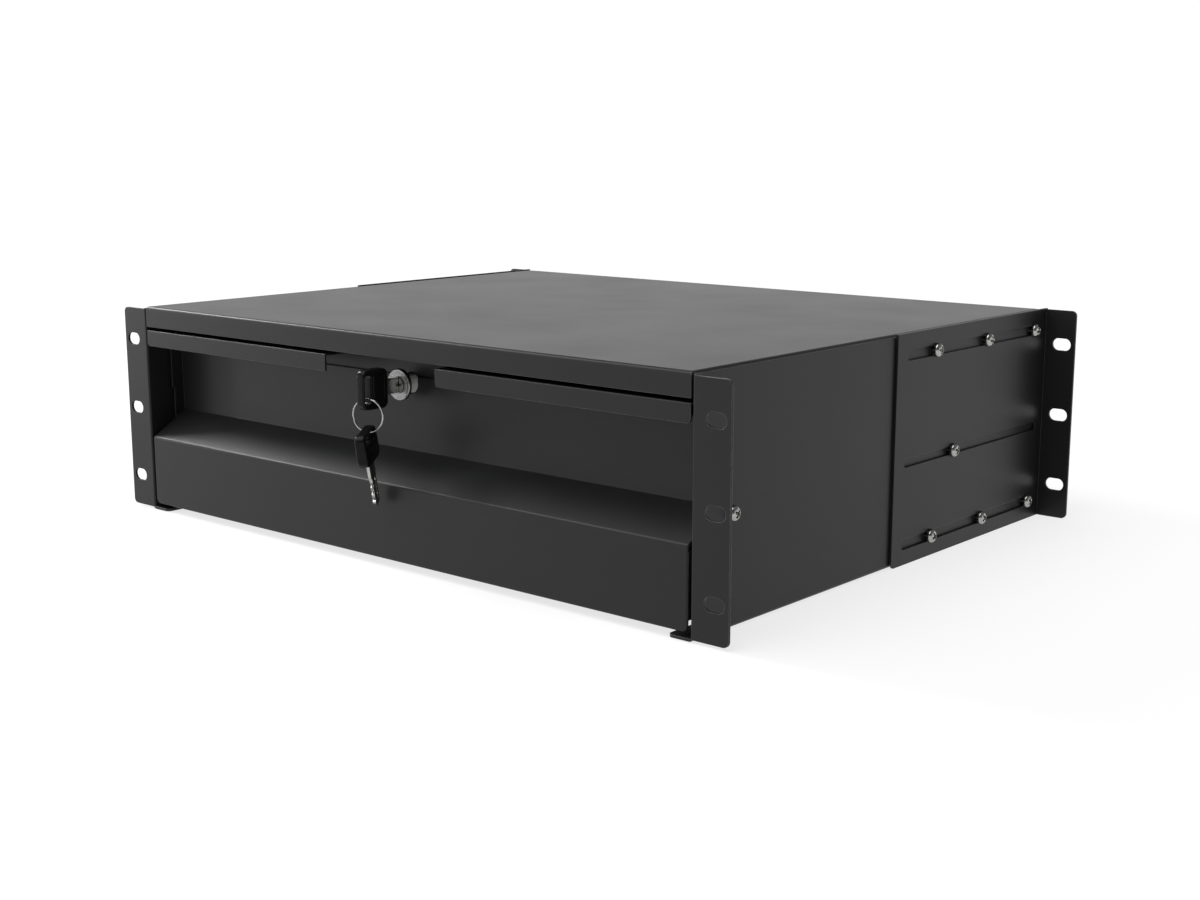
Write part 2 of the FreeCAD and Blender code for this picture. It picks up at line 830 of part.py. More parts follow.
def build_drawer_box():
    nose = front_face + dim.drawer_gauge + dim.joint_gap
    half_floor = drawer_inside - dim.joint_gap

    floor = new_body("drawer_floor")
    plate = rectangle(-half_floor, half_floor, nose, dim.drawer_back)
    add_slab(floor, "XY", drawer_bottom, floor_top, plate)
    keep(floor)

    # A side wall runs forward under the ledge, with flanges on the floor, behind the recess and on top
    side = new_body("drawer_side_right")
    slope = (dim.ledge_back - dim.ledge_front) / dim.recess_depth_y
    under_ledge = dim.ledge_front - dim.drawer_gauge * 2
    outline = [
        (nose, drawer_bottom),
        (dim.drawer_back, drawer_bottom),
        (dim.drawer_back, dim.drawer_wall_top),
        (recess_back, dim.drawer_wall_top),
        (recess_back, under_ledge + slope * (recess_back - nose)),
        (nose, under_ledge),
    ]
    add_slab(side, "YZ", drawer_inside, drawer_outside, polygon(outline))
    flange_start = drawer_outside - dim.drawer_flange
    flange_back = dim.drawer_back - dim.drawer_gauge - dim.joint_gap
    bottom_flange = rectangle(flange_start, drawer_outside, recess_back + dim.drawer_gauge, flange_back)
    add_slab(side, "XY", floor_top, floor_top + dim.drawer_gauge, bottom_flange)
    front_flange = rectangle(flange_start, drawer_outside, 0, dim.drawer_wall_top)
    add_slab(side, "XZ", recess_back, recess_back + dim.drawer_gauge, front_flange)
    hem = rectangle(drawer_outside - dim.hem, drawer_outside, rail_back + dim.joint_gap, flange_back)
    add_slab(side, "XY", dim.drawer_wall_top - dim.drawer_gauge, dim.drawer_wall_top, hem)
    holes = [circle(y, dim.slide_level, screw_hole) for y in drawer_screw_places()]
    cut_slab(side, "YZ", drawer_inside, drawer_outside, *holes)
    round_along(side, 1, dim.fold_radius, (drawer_outside, dim.drawer_wall_top))
    keep_pair(side, "drawer_side")

    back = new_body("drawer_back")
    section = [
        (dim.drawer_back, floor_top),
        (dim.drawer_back, dim.drawer_wall_top),
        (dim.drawer_back - dim.hem, dim.drawer_wall_top),
        (dim.drawer_back - dim.hem, dim.drawer_wall_top - dim.drawer_gauge),
        (dim.drawer_back - dim.drawer_gauge, dim.drawer_wall_top - dim.drawer_gauge),
        (dim.drawer_back - dim.drawer_gauge, floor_top),
    ]
    half_back = drawer_outside - dim.drawer_flange
    add_slab(back, "YZ", -half_back, half_back, polygon(section))
    wing = rectangle(-half_floor, half_floor, floor_top, dim.drawer_wall_top)
    add_slab(back, "XZ", dim.drawer_back - dim.drawer_gauge, dim.drawer_back, wing)
    round_along(back, 0, dim.fold_radius, (dim.drawer_back, dim.drawer_wall_top))
    keep(back)


def build_drawer_front():
    """One folded sheet: bottom return, lower front, sloping ledge and the wall of the recess."""
    body = new_body("drawer_front")
    gauge = dim.drawer_gauge
    bottom = drawer_bottom - dim.drawer_gauge
    slope = (dim.ledge_back - dim.ledge_front) / dim.recess_depth_y
    drop = gauge * square_root(slope * slope + 1)
    inner_front = front_face + gauge
    section = [
        (front_face, bottom),
        (front_face, dim.ledge_front),
        (recess_face, dim.ledge_back),
        (recess_face, dim.recess_top),
        (recess_back, dim.recess_top),
        (recess_back, dim.ledge_back + slope * gauge - drop),
        (inner_front, dim.ledge_front + slope * gauge - drop),
        (inner_front, bottom),
    ]
    add_slab(body, "YZ", -half_front, half_front, polygon(section))
    round_along(body, 0, dim.bend_radius, (front_face, dim.ledge_front))
    round_along(body, 0, dim.fold_radius, (recess_face, dim.ledge_back))
    corners = [(half_front, bottom), (-half_front, bottom)]
    round_along(body, 1, dim.front_corner, *corners)
    half_return = drawer_inside - dim.joint_gap
    bottom_return = rectangle(-half_return, half_return, front_face, front_face + dim.bottom_return)
    add_slab(body, "XY", bottom, bottom + gauge, bottom_return)
    round_along(body, 0, dim.fold_radius, (front_face, bottom))

    cheek_front = recess_face - dim.cheek_upper
    step_front = recess_face - dim.cheek_lower
    cheek = [
        (recess_back, dim.recess_top),
        (cheek_front, dim.recess_top),
        (cheek_front, dim.cheek_step),
        (step_front, dim.cheek_step),
        (step_front, dim.ledge_back - slope * dim.cheek_lower - gauge / 2),
        (recess_back, dim.ledge_back - gauge / 2),
    ]
    lower_return = rectangle(front_face + dim.bend_radius, front_face + dim.front_return,
                             bottom + dim.front_corner * 2, dim.ledge_front - dim.front_corner)
    joint = rectangle(front_face + gauge / 2, front_face + dim.bend_radius * 2,
                      bottom + dim.front_corner * 2, dim.ledge_front - dim.front_corner)
    for low, high in ((half_front - gauge, half_front), (-half_front, -half_front + gauge)):
        add_slab(body, "YZ", low, high, polygon(cheek))
        add_slab(body, "YZ", low, high, lower_return)
        add_slab(body, "YZ", low, high, joint)
    notch = dim.barrel_radius + dim.barrel_hole_fit
    cut_slab(body, "XZ", recess_face, recess_back, circle(0, dim.lock_level, notch))
    throat = rectangle(-notch, notch, dim.lock_level, dim.recess_top + gauge)
    cut_slab(body, "XZ", recess_face, recess_back, throat)
    keep(body)


def build_front_rail():
    """The top rail: a web with two strips folded down in front, which the fingers reach behind."""
    body = new_body("front_rail")
    gauge = dim.drawer_gauge
    half_gap = dim.strip_gap / 2
    web = [
        (-half_rail, front_face),
        (-half_gap, front_face),
        (-half_gap, recess_face),
        (half_gap, recess_face),
        (half_gap, front_face),
        (half_rail, front_face),
        (half_rail, rail_back),
        (-half_rail, rail_back),
    ]
    add_slab(body, "XY", rail_under, rail_top, polygon(web))
    strip_bottom = rail_top - dim.strip_height
    right = rectangle(half_gap, half_rail, strip_bottom, rail_top)
    left = rectangle(-half_rail, -half_gap, strip_bottom, rail_top)
    add_slab(body, "XZ", front_face, front_face + gauge, right, left)
    half_tab = drawer_inside - dim.joint_gap
    flange = rectangle(-half_tab, half_tab, rail_top - dim.rail_flange, rail_top)
    add_slab(body, "XZ", rail_back - gauge, rail_back, flange)
    tab_front = rail_back - dim.rail_tab_width
    for low, high in ((half_tab - gauge, half_tab), (-half_tab, -half_tab + gauge)):
        tab = rectangle(low, high, tab_front, rail_back)
        add_slab(body, "XY", rail_top - dim.rail_tab, rail_top, tab)
    lower_corners = [(x, strip_bottom) for x in (half_rail, -half_rail, half_gap)]
    round_along(body, 1, dim.strip_corner, *lower_corners)
    round_along(body, 0, dim.fold_radius, (front_face, rail_top), (rail_back, rail_top))
    keep(body)


def build_drawer_screws():
    reach = dim.drawer_gauge + dim.slide_gauge
    screw = build_screw("drawer_screw", reach, dim.drawer_screw_head, dim.drawer_screw_height,
                        dim.screw_radius)
    placed = [(screw, drawer_inside, y, dim.slide_level, 180) for y in drawer_screw_places()]
    keep_pair(copies("drawer_screws", placed), "drawer_screws")


# Lock

def build_lock_plate():
    body = new_body("lock_plate")
    half_width = dim.lock_plate_width / 2
    plate = rectangle(-half_width, half_width, dim.lock_plate_bottom, rail_under)
    add_slab(body, "XZ", recess_back, plate_back, plate)
    corners = [(x, dim.lock_plate_bottom) for x in (half_width, -half_width)]
    round_along(body, 1, dim.strip_corner, *corners)
    hole = circle(0, dim.lock_level, dim.barrel_radius + dim.barrel_hole_fit)
    cut_slab(body, "XZ", recess_back, plate_back, hole)
    keep(body)


def build_lock_body():
    """Face flange and barrel with two flats, bored for the plug."""
    body = new_body("lock_body")
    face_back = dim.lock_face + dim.lock_face_thick
    add_slab(body, "XZ", dim.lock_face, face_back, circle(0, dim.lock_level, dim.lock_face_radius))
    round_circle(body, dim.lock_face_round, 1, dim.lock_face, dim.lock_face_radius)
    add_slab(body, "XZ", dim.lock_face, dim.barrel_end, circle(0, dim.lock_level, dim.barrel_radius))
    for side in (-1, 1):
        flat = dim.lock_level + dim.barrel_flats / 2 * side
        edge = dim.lock_level + dim.barrel_radius * 2 * side
        low, high = (flat, edge) if side > 0 else (edge, flat)
        waste = rectangle(-dim.barrel_radius * 2, dim.barrel_radius * 2, low, high)
        cut_slab(body, "XZ", face_back, dim.barrel_end, waste)
    bore = circle(0, dim.lock_level, dim.plug_radius + dim.plug_fit)
    cut_slab(body, "XZ", dim.lock_face, dim.barrel_end, bore)
    keep(body)


def build_lock_nut():
    body = new_body("lock_nut")
    reach = dim.lock_nut_flats / square_root(as_size(3))
    corners = []
    for i in range(6):
        angle = math.radians(60 * i)
        across, up = round(math.cos(angle), 9), round(math.sin(angle), 9)
        corners.append((reach * across, dim.lock_level + reach * up))
    nut_back = plate_back + dim.lock_nut_height
    add_slab(body, "XZ", plate_back, nut_back, polygon(corners))
    bore = circle(0, dim.lock_level, dim.barrel_radius + dim.screw_fit)
    cut_slab(body, "XZ", plate_back, nut_back, bore)
    keep(body)


def build_lock_plug():
    """The turning plug: keyway in front, a square end for the cam and a hole for its screw."""
    body = new_body("lock_plug")
    face = dim.lock_face - dim.plug_proud
    square_start = dim.barrel_end + dim.cam_gap
    square_end = square_start + dim.cam_thick
    half_square = dim.plug_square / 2
    add_slab(body, "XZ", face, square_start, circle(0, dim.lock_level, dim.plug_radius))
    square = rectangle(-half_square, half_square,
                       dim.lock_level - half_square, dim.lock_level + half_square)
    add_slab(body, "XZ", square_start, square_end, square)
    half_way = dim.keyway_height / 2
    keyway = rectangle(-dim.keyway_width / 2, dim.keyway_width / 2,
                       dim.lock_level - half_way, dim.lock_level + half_way)
    cut_slab(body, "XZ", face, face + dim.keyway_depth, keyway)
    hole = circle(0, dim.lock_level, dim.cam_screw_radius + dim.screw_fit)
    cut_slab(body, "XZ", square_end - dim.cam_screw_length, square_end, hole)
    keep(body)


def build_lock_cam():
    """A flat arm on the plug's square. It lies along +X when the drawer is unlocked."""
    body = new_body("lock_cam")
    start = dim.barrel_end + dim.cam_gap
    end = start + dim.cam_thick
    half_width = dim.cam_width / 2
    arm = rectangle(-half_width, dim.cam_reach, dim.lock_level - half_width, dim.lock_level + half_width)
    add_slab(body, "XZ", start, end, arm)
    corners = []
    for x in (-half_width, dim.cam_reach):
        for side in (-1, 1):
            corners.append((x, dim.lock_level + half_width * side))
    round_along(body, 1, dim.strip_corner, *corners)
    half_square = dim.plug_square / 2 + dim.cam_square_fit
    square = rectangle(-half_square, half_square,
                       dim.lock_level - half_square, dim.lock_level + half_square)
    cut_slab(body, "XZ", start, end, square)
    keep(body)


def build_cam_screw():
    body = new_body("cam_screw")
    seat = dim.barrel_end + dim.cam_gap + dim.cam_thick
    top = seat + dim.cam_screw_height
    shank = circle(0, dim.lock_level, dim.cam_screw_radius)
    add_slab(body, "XZ", seat - dim.cam_screw_length, top, shank)
    add_slab(body, "XZ", seat, top, circle(0, dim.lock_level, dim.cam_screw_head))
    round_circle(body, dim.cam_screw_height / 2, 1, top, dim.cam_screw_head)
    keep(body)


# Keys. Each is drawn as it stands in the lock, blade to the back.

bow_back = dim.lock_face - dim.plug_proud - dim.shoulder_length - dim.key_face_gap / 2
bow_front = bow_back - dim.bow_length
ring_slot_y = bow_front + dim.ring_slot_inset
wire_offset = (dim.ring_slot_length - dim.ring_slot_width) / 2


def build_key_bow(label):
    """The moulded grip: a rounded plate with a raised panel, a ring slot and a pocket for the tang."""
    body = new_body(label)
    half_width = dim.bow_width / 2
    low, high = dim.lock_level - half_width, dim.lock_level + half_width
    half_thick = dim.bow_thick / 2
    add_slab(body, "YZ", -half_thick, half_thick, rectangle(bow_front, bow_back, low, high))
    corners = [(y, z) for y in (bow_front, bow_back) for z in (low, high)]
    round_along(body, 0, dim.bow_corner, *corners)
    inset = dim.bow_panel_inset
    panel_front = ring_slot_y + dim.ring_slot_width / 2 + inset / 3
    panel = rectangle(panel_front, bow_back - inset, low + inset, high - inset)
    half_panel_thick = half_thick + dim.bow_panel
    add_slab(body, "YZ", -half_panel_thick, half_panel_thick, panel)
    ring_slot = slot(ring_slot_y, dim.lock_level, dim.ring_slot_length, dim.ring_slot_width, upright=True)
    cut_slab(body, "YZ", -half_panel_thick, half_panel_thick, ring_slot)
    half_tang = dim.tang_height / 2 + dim.tang_fit
    half_blade = dim.blade_thick / 2 + dim.tang_fit
    pocket = rectangle(bow_back - dim.tang_length - dim.tang_fit, bow_back,
                       dim.lock_level - half_tang, dim.lock_level + half_tang)
    cut_slab(body, "YZ", -half_blade, half_blade, pocket)
    return keep(body)


def build_key_blade(label):
    """The steel blade: tang, shoulder and a narrower tip with cuts along its lower edge."""
    body = new_body(label)
    level = dim.lock_level
    half_tang = dim.tang_height / 2
    half_shoulder = dim.shoulder_height / 2
    half_blade = dim.blade_height / 2
    tang_start = bow_back - dim.tang_length
    shoulder_end = bow_back + dim.shoulder_length - dim.key_face_gap / 2
    tip = shoulder_end + dim.blade_length
    outline = [
        (tang_start, level - half_tang),
        (tang_start, level + half_tang),
        (bow_back, level + half_tang),
        (bow_back, level + half_shoulder),
        (shoulder_end, level + half_shoulder),
        (shoulder_end, level + half_blade),
        (tip - dim.blade_tip, level + half_blade),
        (tip, level + half_blade / 4),
        (tip, level - half_blade / 4),
        (tip - dim.blade_tip, level - half_blade),
    ]
    pitch = (dim.blade_length - dim.blade_tip) / (len(KEY_CUTS) + 1)
    for i, depth in enumerate(KEY_CUTS):
        y = tip - dim.blade_tip - pitch * (i + 0.5)
        outline.append((y, level - half_blade))
        outline.append((y - pitch / 2, level - half_blade + depth))
    outline += [
        (shoulder_end + pitch / 4, level - half_blade),
        (shoulder_end, level - half_blade),
        (shoulder_end, level - half_shoulder),
        (bow_back, level - half_shoulder),
        (bow_back, level - half_tang),
    ]
    add_slab(body, "YZ", -dim.blade_thick / 2, dim.blade_thick / 2, polygon(outline))
    return keep(body)


def build_keys():
    """The key in the lock, the ring through its slot and the spare key that hangs from the ring."""
    build_key_bow("key_bow")
    build_key_blade("key_blade")

    ring_y = ring_slot_y + dim.ring_shift * tangent(dim.ring_turn)
    ring_z = dim.lock_level - wire_offset + dim.ring_rise - dim.ring_radius
    ring = doc.addObject("Part::Torus", "key_ring")
    ring.Label = "key_ring"
    ring.setExpression("Radius1", dim.ring_radius.text)
    ring.setExpression("Radius2", dim.ring_wire.text)
    turn = Rotation(Vector(0, 0, 1), dim.ring_turn.number)
    flat_to_upright = Rotation(Vector(1, 0, 0), 90)
    ring.Placement = Placement(Vector(0, 0, 0), turn.multiply(flat_to_upright))
    for axis, value in zip("xyz", (dim.ring_shift, ring_y, ring_z)):
        ring.setExpression(f".Placement.Base.{axis}", value.text)
    keep(ring)

    # The spare hangs by the upper end of its slot, blade down and leaning towards the drawer
    hang = Vector(dim.ring_shift.number, ring_y.number, (ring_z - dim.ring_radius - dim.spare_drop).number)
    pose = Rotation(Vector(0, 0, 1), dim.spare_turn.number)
    pose = pose.multiply(Rotation(Vector(0, 1, 0), dim.spare_pitch.number))
    pose = pose.multiply(Rotation(Vector(1, 0, 0), dim.spare_tilt.number - 90))
    slot_end = Vector(0, ring_slot_y.number, (dim.lock_level + wire_offset).number)
    for piece in (build_key_bow("spare_key_bow"), build_key_blade("spare_key_blade")):
        piece.Placement = Placement(hang - pose.multVec(slot_end), pose)


def check_document():
    """Stops if any object failed to build or any piece is not a valid solid."""
    doc.recompute()
    for thing in doc.Objects:
        if "Invalid" in thing.State or "Error" in thing.State:
            raise RuntimeError(f"{thing.Label} failed: {thing.State}")
    for node in nodes:
        shape = node.Shape
        if shape.isNull() or not shape.isValid() or not shape.Solids:
            raise RuntimeError(f"{node.Label} is not a valid solid")


def write_parts():
    os.makedirs("parts", exist_ok=True)
    for node in nodes:
        node.Shape.exportStep(f"parts/{node.Label}.step")
    print(len(nodes), "parts written")


build_side_panel()
build_top_cover()
build_rear_panel()
build_strike_plate()
build_rear_bracket()
build_side_screws()
build_slide_members()
build_ball_cage("outer", dim.outer_cage_setback, dim.outer_cage_reach, outer_ball_row)
build_ball_cage("inner", dim.inner_cage_setback, dim.inner_cage_reach, inner_ball_row)
build_drawer_box()
build_drawer_front()
build_front_rail()
build_drawer_screws()
build_lock_plate()
build_lock_body()
build_lock_nut()
build_lock_plug()
build_lock_cam()
build_cam_screw()
build_keys()
check_document()
write_parts()
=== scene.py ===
"""Looks of the sliding rack drawer: studio, finishes, and the small turned and moulded pieces."""
import json
import math

import bpy
import numpy as np
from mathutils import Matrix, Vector


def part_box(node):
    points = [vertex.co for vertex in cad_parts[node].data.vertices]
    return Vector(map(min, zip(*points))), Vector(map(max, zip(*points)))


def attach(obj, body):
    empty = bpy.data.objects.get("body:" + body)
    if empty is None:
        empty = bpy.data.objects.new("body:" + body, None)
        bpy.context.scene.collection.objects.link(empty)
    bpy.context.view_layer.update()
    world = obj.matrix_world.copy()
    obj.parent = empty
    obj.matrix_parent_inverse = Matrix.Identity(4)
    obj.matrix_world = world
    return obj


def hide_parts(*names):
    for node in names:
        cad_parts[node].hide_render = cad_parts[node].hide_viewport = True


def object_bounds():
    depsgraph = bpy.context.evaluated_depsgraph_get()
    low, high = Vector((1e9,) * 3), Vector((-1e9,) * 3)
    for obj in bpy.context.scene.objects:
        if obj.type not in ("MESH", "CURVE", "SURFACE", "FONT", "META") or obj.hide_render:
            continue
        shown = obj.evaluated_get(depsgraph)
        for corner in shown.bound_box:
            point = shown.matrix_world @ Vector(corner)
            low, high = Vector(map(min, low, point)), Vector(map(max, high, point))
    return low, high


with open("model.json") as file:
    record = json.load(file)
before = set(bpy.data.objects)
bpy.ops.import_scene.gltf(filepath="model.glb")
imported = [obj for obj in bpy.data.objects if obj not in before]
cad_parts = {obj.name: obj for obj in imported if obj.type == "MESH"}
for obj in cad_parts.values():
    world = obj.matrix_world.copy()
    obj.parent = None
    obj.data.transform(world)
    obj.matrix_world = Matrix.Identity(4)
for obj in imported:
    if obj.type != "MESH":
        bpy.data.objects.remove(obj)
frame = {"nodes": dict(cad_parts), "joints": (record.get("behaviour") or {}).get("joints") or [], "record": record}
cad_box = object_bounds()

MM = 0.001

# The photograph's view
CAMERA_PLACE = (0.6868, -0.6131, 0.1785)
CAMERA_TILT = math.radians(78.98)
CAMERA_TURN = math.radians(40.66)
CAMERA_LENS = 50.0

# Studio light
BACKDROP_STRENGTH = 1.15
ROOM_STRENGTH = 0.22
BEHIND_CAMERA_SHARE = 0.2
BACKDROP_TOP = (0.20, 0.50)
OPENING_EDGE = (0.55, 0.90)
OVERHEAD_DIRECTION = (0.25, 0.45, -1.0)
OVERHEAD_SPREAD = math.radians(60.0)
OVERHEAD_POWER = 2.5
SOFTBOX_PLACE = (-1.35, -0.10, 0.88)
SOFTBOX_SIZE = (0.35, 0.45)
SOFTBOX_POWER = 14.0
STRIP_PLACE = (-1.30, -0.45, 0.15)
STRIP_SIZE = (0.07, 0.6)
STRIP_POWER = 2.0
FLOOR_RADIUS = 4.0
FLOOR_DROP = 0.2 * MM

# Small hardware
HEAD_RADIUS = 4.0 * MM
HEAD_EDGE = 1.1 * MM
SHANK_RADIUS = 2.0 * MM
SHANK_TIP_RADIUS = 0.4 * MM
SCREW_CHAMFER = 0.3 * MM
DOME_ROWS = 34
DOME_TOP_SHARE = 0.985
BRACKET_GAP = 0.1 * MM
SEAT_OVER_CASE = 1.7 * MM
PAN_HEAD_HEIGHT = 3.8 * MM
RECESS_REACH = 2.35 * MM
RECESS_HALF_WIDTH = 0.62 * MM
RECESS_WALL = 0.16 * MM
RECESS_RUNOUT = 0.9 * MM
RECESS_DEPTH = 1.9 * MM
DRAWER_HEAD_RADIUS = 3.5 * MM
DRAWER_HEAD_EDGE = 0.5 * MM
DRAWER_HEAD_HEIGHT = 2.0 * MM
CAM_HEAD_RADIUS = 3.6 * MM
CAM_HEAD_HEIGHT = 2.4 * MM

# Lock barrel
BARREL_RADIUS = 6.0 * MM
BARREL_HALF_FLATS = 5.0 * MM
FACE_THICK = 2.2 * MM
BORE_RADIUS = 4.45 * MM
BORE_CHAMFER = 0.35 * MM
BORE_LIP = 0.5 * MM
FACE_RING_OUT = 1.6 * MM
FACE_RING_WIDE = 0.7 * MM
FACE_RING_DEEP = 0.15 * MM
FACE_RIM_ROUND = 0.8 * MM
FACE_BACK_CHAMFER = 0.2 * MM
BARREL_COLUMNS = 72
THREAD_PITCH = 1.0 * MM
THREAD_DEPTH = 0.3 * MM
PLAIN_LENGTH = 8.0 * MM

# Keys
BOW_CORNER = 4.0 * MM
SLOT_INSET = 3.8 * MM
SLOT_HALF_WIDTH = 2.4 * MM
SLOT_HALF_LINE = 5.7 * MM
BOW_HALF_THICK = 3.0 * MM
BOW_EDGE = 1.3 * MM
SLOT_EDGE = 0.5 * MM
PANEL_RISE = 0.4 * MM
PANEL_INSET = 3.0 * MM
PANEL_EDGE = 0.7 * MM
TANG_LENGTH = 8.0 * MM
SHOULDER_LENGTH = 8.85 * MM
BLADE_HALF_HEIGHT = 3.5 * MM
BLADE_TIP = 2.4 * MM
BLADE_EDGE = 0.18 * MM
BLADE_CORNER = 0.25 * MM
BLADE_SINK = 0.5 * MM
BLADE_SPACING = 0.2 * MM
SHOULDER_STEP = 0.02 * MM
GROOVE_DEPTH = 0.4 * MM
GROOVE_LEVEL = 0.7 * MM
GROOVE_HALF_WIDTH = 1.0 * MM
GROOVE_WALL = 0.35 * MM
GROOVE_LEAD = 2.0 * MM
GROOVE_RUNOUT = 1.0 * MM
KEY_CUTS = (1.1, 0.4, 1.5, 0.8, 1.7, 0.5)
SPARE_TURN = math.radians(29.9)
SPARE_PITCH = math.radians(-4.0)
SPARE_TILT = math.radians(12.0 - 90.0)

# Split ring
RING_TURN = math.radians(20.0)
WIRE_RADIUS = 0.8 * MM
COIL_HALF_STEP = 0.27 * MM
COIL_HALF_THICK = 0.25 * MM
COIL_HALF_WIDE = 0.38 * MM
COIL_JOG = 0.45
COIL_START = math.radians(200.0)


# Studio

def make_camera():
    data = bpy.data.cameras.new("camera")
    data.lens = CAMERA_LENS
    camera = bpy.data.objects.new("camera", data)
    camera.location = CAMERA_PLACE
    camera.rotation_euler = (CAMERA_TILT, 0.0, CAMERA_TURN)
    bpy.context.scene.collection.objects.link(camera)
    bpy.context.scene.camera = camera


def make_world():
    """A white backdrop that ends a little above the horizon, in a dimmer room.

    The backdrop is open behind the camera, where the room shows.
    """
    world = bpy.data.worlds.new("studio")
    world.use_nodes = True
    sky = Nodes(world.node_tree)
    direction = sky.node("ShaderNodeTexCoord", {}, {}, "Generated")
    height = sky.node("ShaderNodeSeparateXYZ", {}, {0: direction}, "Z")
    camera_side = Vector((CAMERA_PLACE[0], CAMERA_PLACE[1], 0.0)).normalized()
    over = sky.step(height, *BACKDROP_TOP)
    behind = sky.step(sky.dot(direction, camera_side), *OPENING_EDGE)
    level = BACKDROP_STRENGTH + over * (ROOM_STRENGTH - BACKDROP_STRENGTH)
    strength = level * (1.0 - behind * (1.0 - BEHIND_CAMERA_SHARE))
    background = world.node_tree.nodes["Background"]
    world.node_tree.links.new(strength.socket, background.inputs["Strength"])
    background.inputs["Color"].default_value = (1.0, 1.0, 1.0, 1.0)
    bpy.context.scene.world = world
    bpy.context.scene.view_settings.view_transform = "Standard"


def hang_light(name, kind, power, direction, place=(0.0, 0.0, 0.0)):
    """A light of a kind at a place, facing along a direction."""
    data = bpy.data.lights.new(name, kind)
    data.energy = power
    light = bpy.data.objects.new(name, data)
    light.location = place
    light.rotation_euler = Vector(direction).to_track_quat("-Z", "Y").to_euler()
    bpy.context.scene.collection.objects.link(light)
    return data


def make_lights():
    """An even light from overhead, and a softbox and a low strip at the left that face the origin."""
    overhead = hang_light("overhead", "SUN", OVERHEAD_POWER, OVERHEAD_DIRECTION)
    overhead.angle = OVERHEAD_SPREAD
    for name, place, size, power in (("left_softbox", SOFTBOX_PLACE, SOFTBOX_SIZE, SOFTBOX_POWER),
                                     ("left_strip", STRIP_PLACE, STRIP_SIZE, STRIP_POWER)):
        box = hang_light(name, "AREA", power, -Vector(place), place)
        box.shape = "RECTANGLE"
        box.size, box.size_y = size


def make_floor():
    """A round pale floor just under the lowest point, as a disc of rings around its centre."""
    level = cad_box[0].z - FLOOR_DROP
    rings = np.linspace(0.02, FLOOR_RADIUS, 24)
    points = turned(rings, np.full(len(rings), level))
    form = Form()
    form.add(points, closed=False, first_pole=(0.0, 0.0, level), outward=False)
    floor = form.mesh_object("floor", floor_paint())


# Shader maths

class Value:
    """A shader value. Arithmetic on it adds Math nodes to its tree."""

    def __init__(self, nodes, socket):
        self.nodes = nodes
        self.socket = socket

    def __add__(self, other):
        return self.nodes.math("ADD", self, other)

    __radd__ = __add__

    def __sub__(self, other):
        return self.nodes.math("SUBTRACT", self, other)

    def __rsub__(self, other):
        return self.nodes.math("SUBTRACT", other, self)

    def __mul__(self, other):
        return self.nodes.math("MULTIPLY", self, other)

    __rmul__ = __mul__

    def __pow__(self, other):
        return self.nodes.math("POWER", self, other)


class Nodes:
    """A node tree that grows by expressions on its values."""

    def __init__(self, tree):
        self.tree = tree

    def node(self, kind, settings, values, output=0):
        """Any node: its type, its settings, then the values or links of its sockets."""
        made = self.tree.nodes.new(kind)
        for setting, choice in settings.items():
            setattr(made, setting, choice)
        for socket, value in values.items():
            if isinstance(value, Value):
                self.tree.links.new(value.socket, made.inputs[socket])
            else:
                made.inputs[socket].default_value = value
        return Value(self, made.outputs[output])

    def math(self, operation, first, second):
        return self.node("ShaderNodeMath", {"operation": operation}, {0: first, 1: second})

    def dot(self, first, second):
        """The dot product of two vectors."""
        settings = {"operation": "DOT_PRODUCT"}
        return self.node("ShaderNodeVectorMath", settings, {0: first, 1: second}, "Value")

    def step(self, value, low, high):
        """Rises smoothly from 0 at low to 1 at high."""
        values = {"Value": value, "From Min": low, "From Max": high}
        return self.node("ShaderNodeMapRange", {"interpolation_type": "SMOOTHSTEP"}, values)


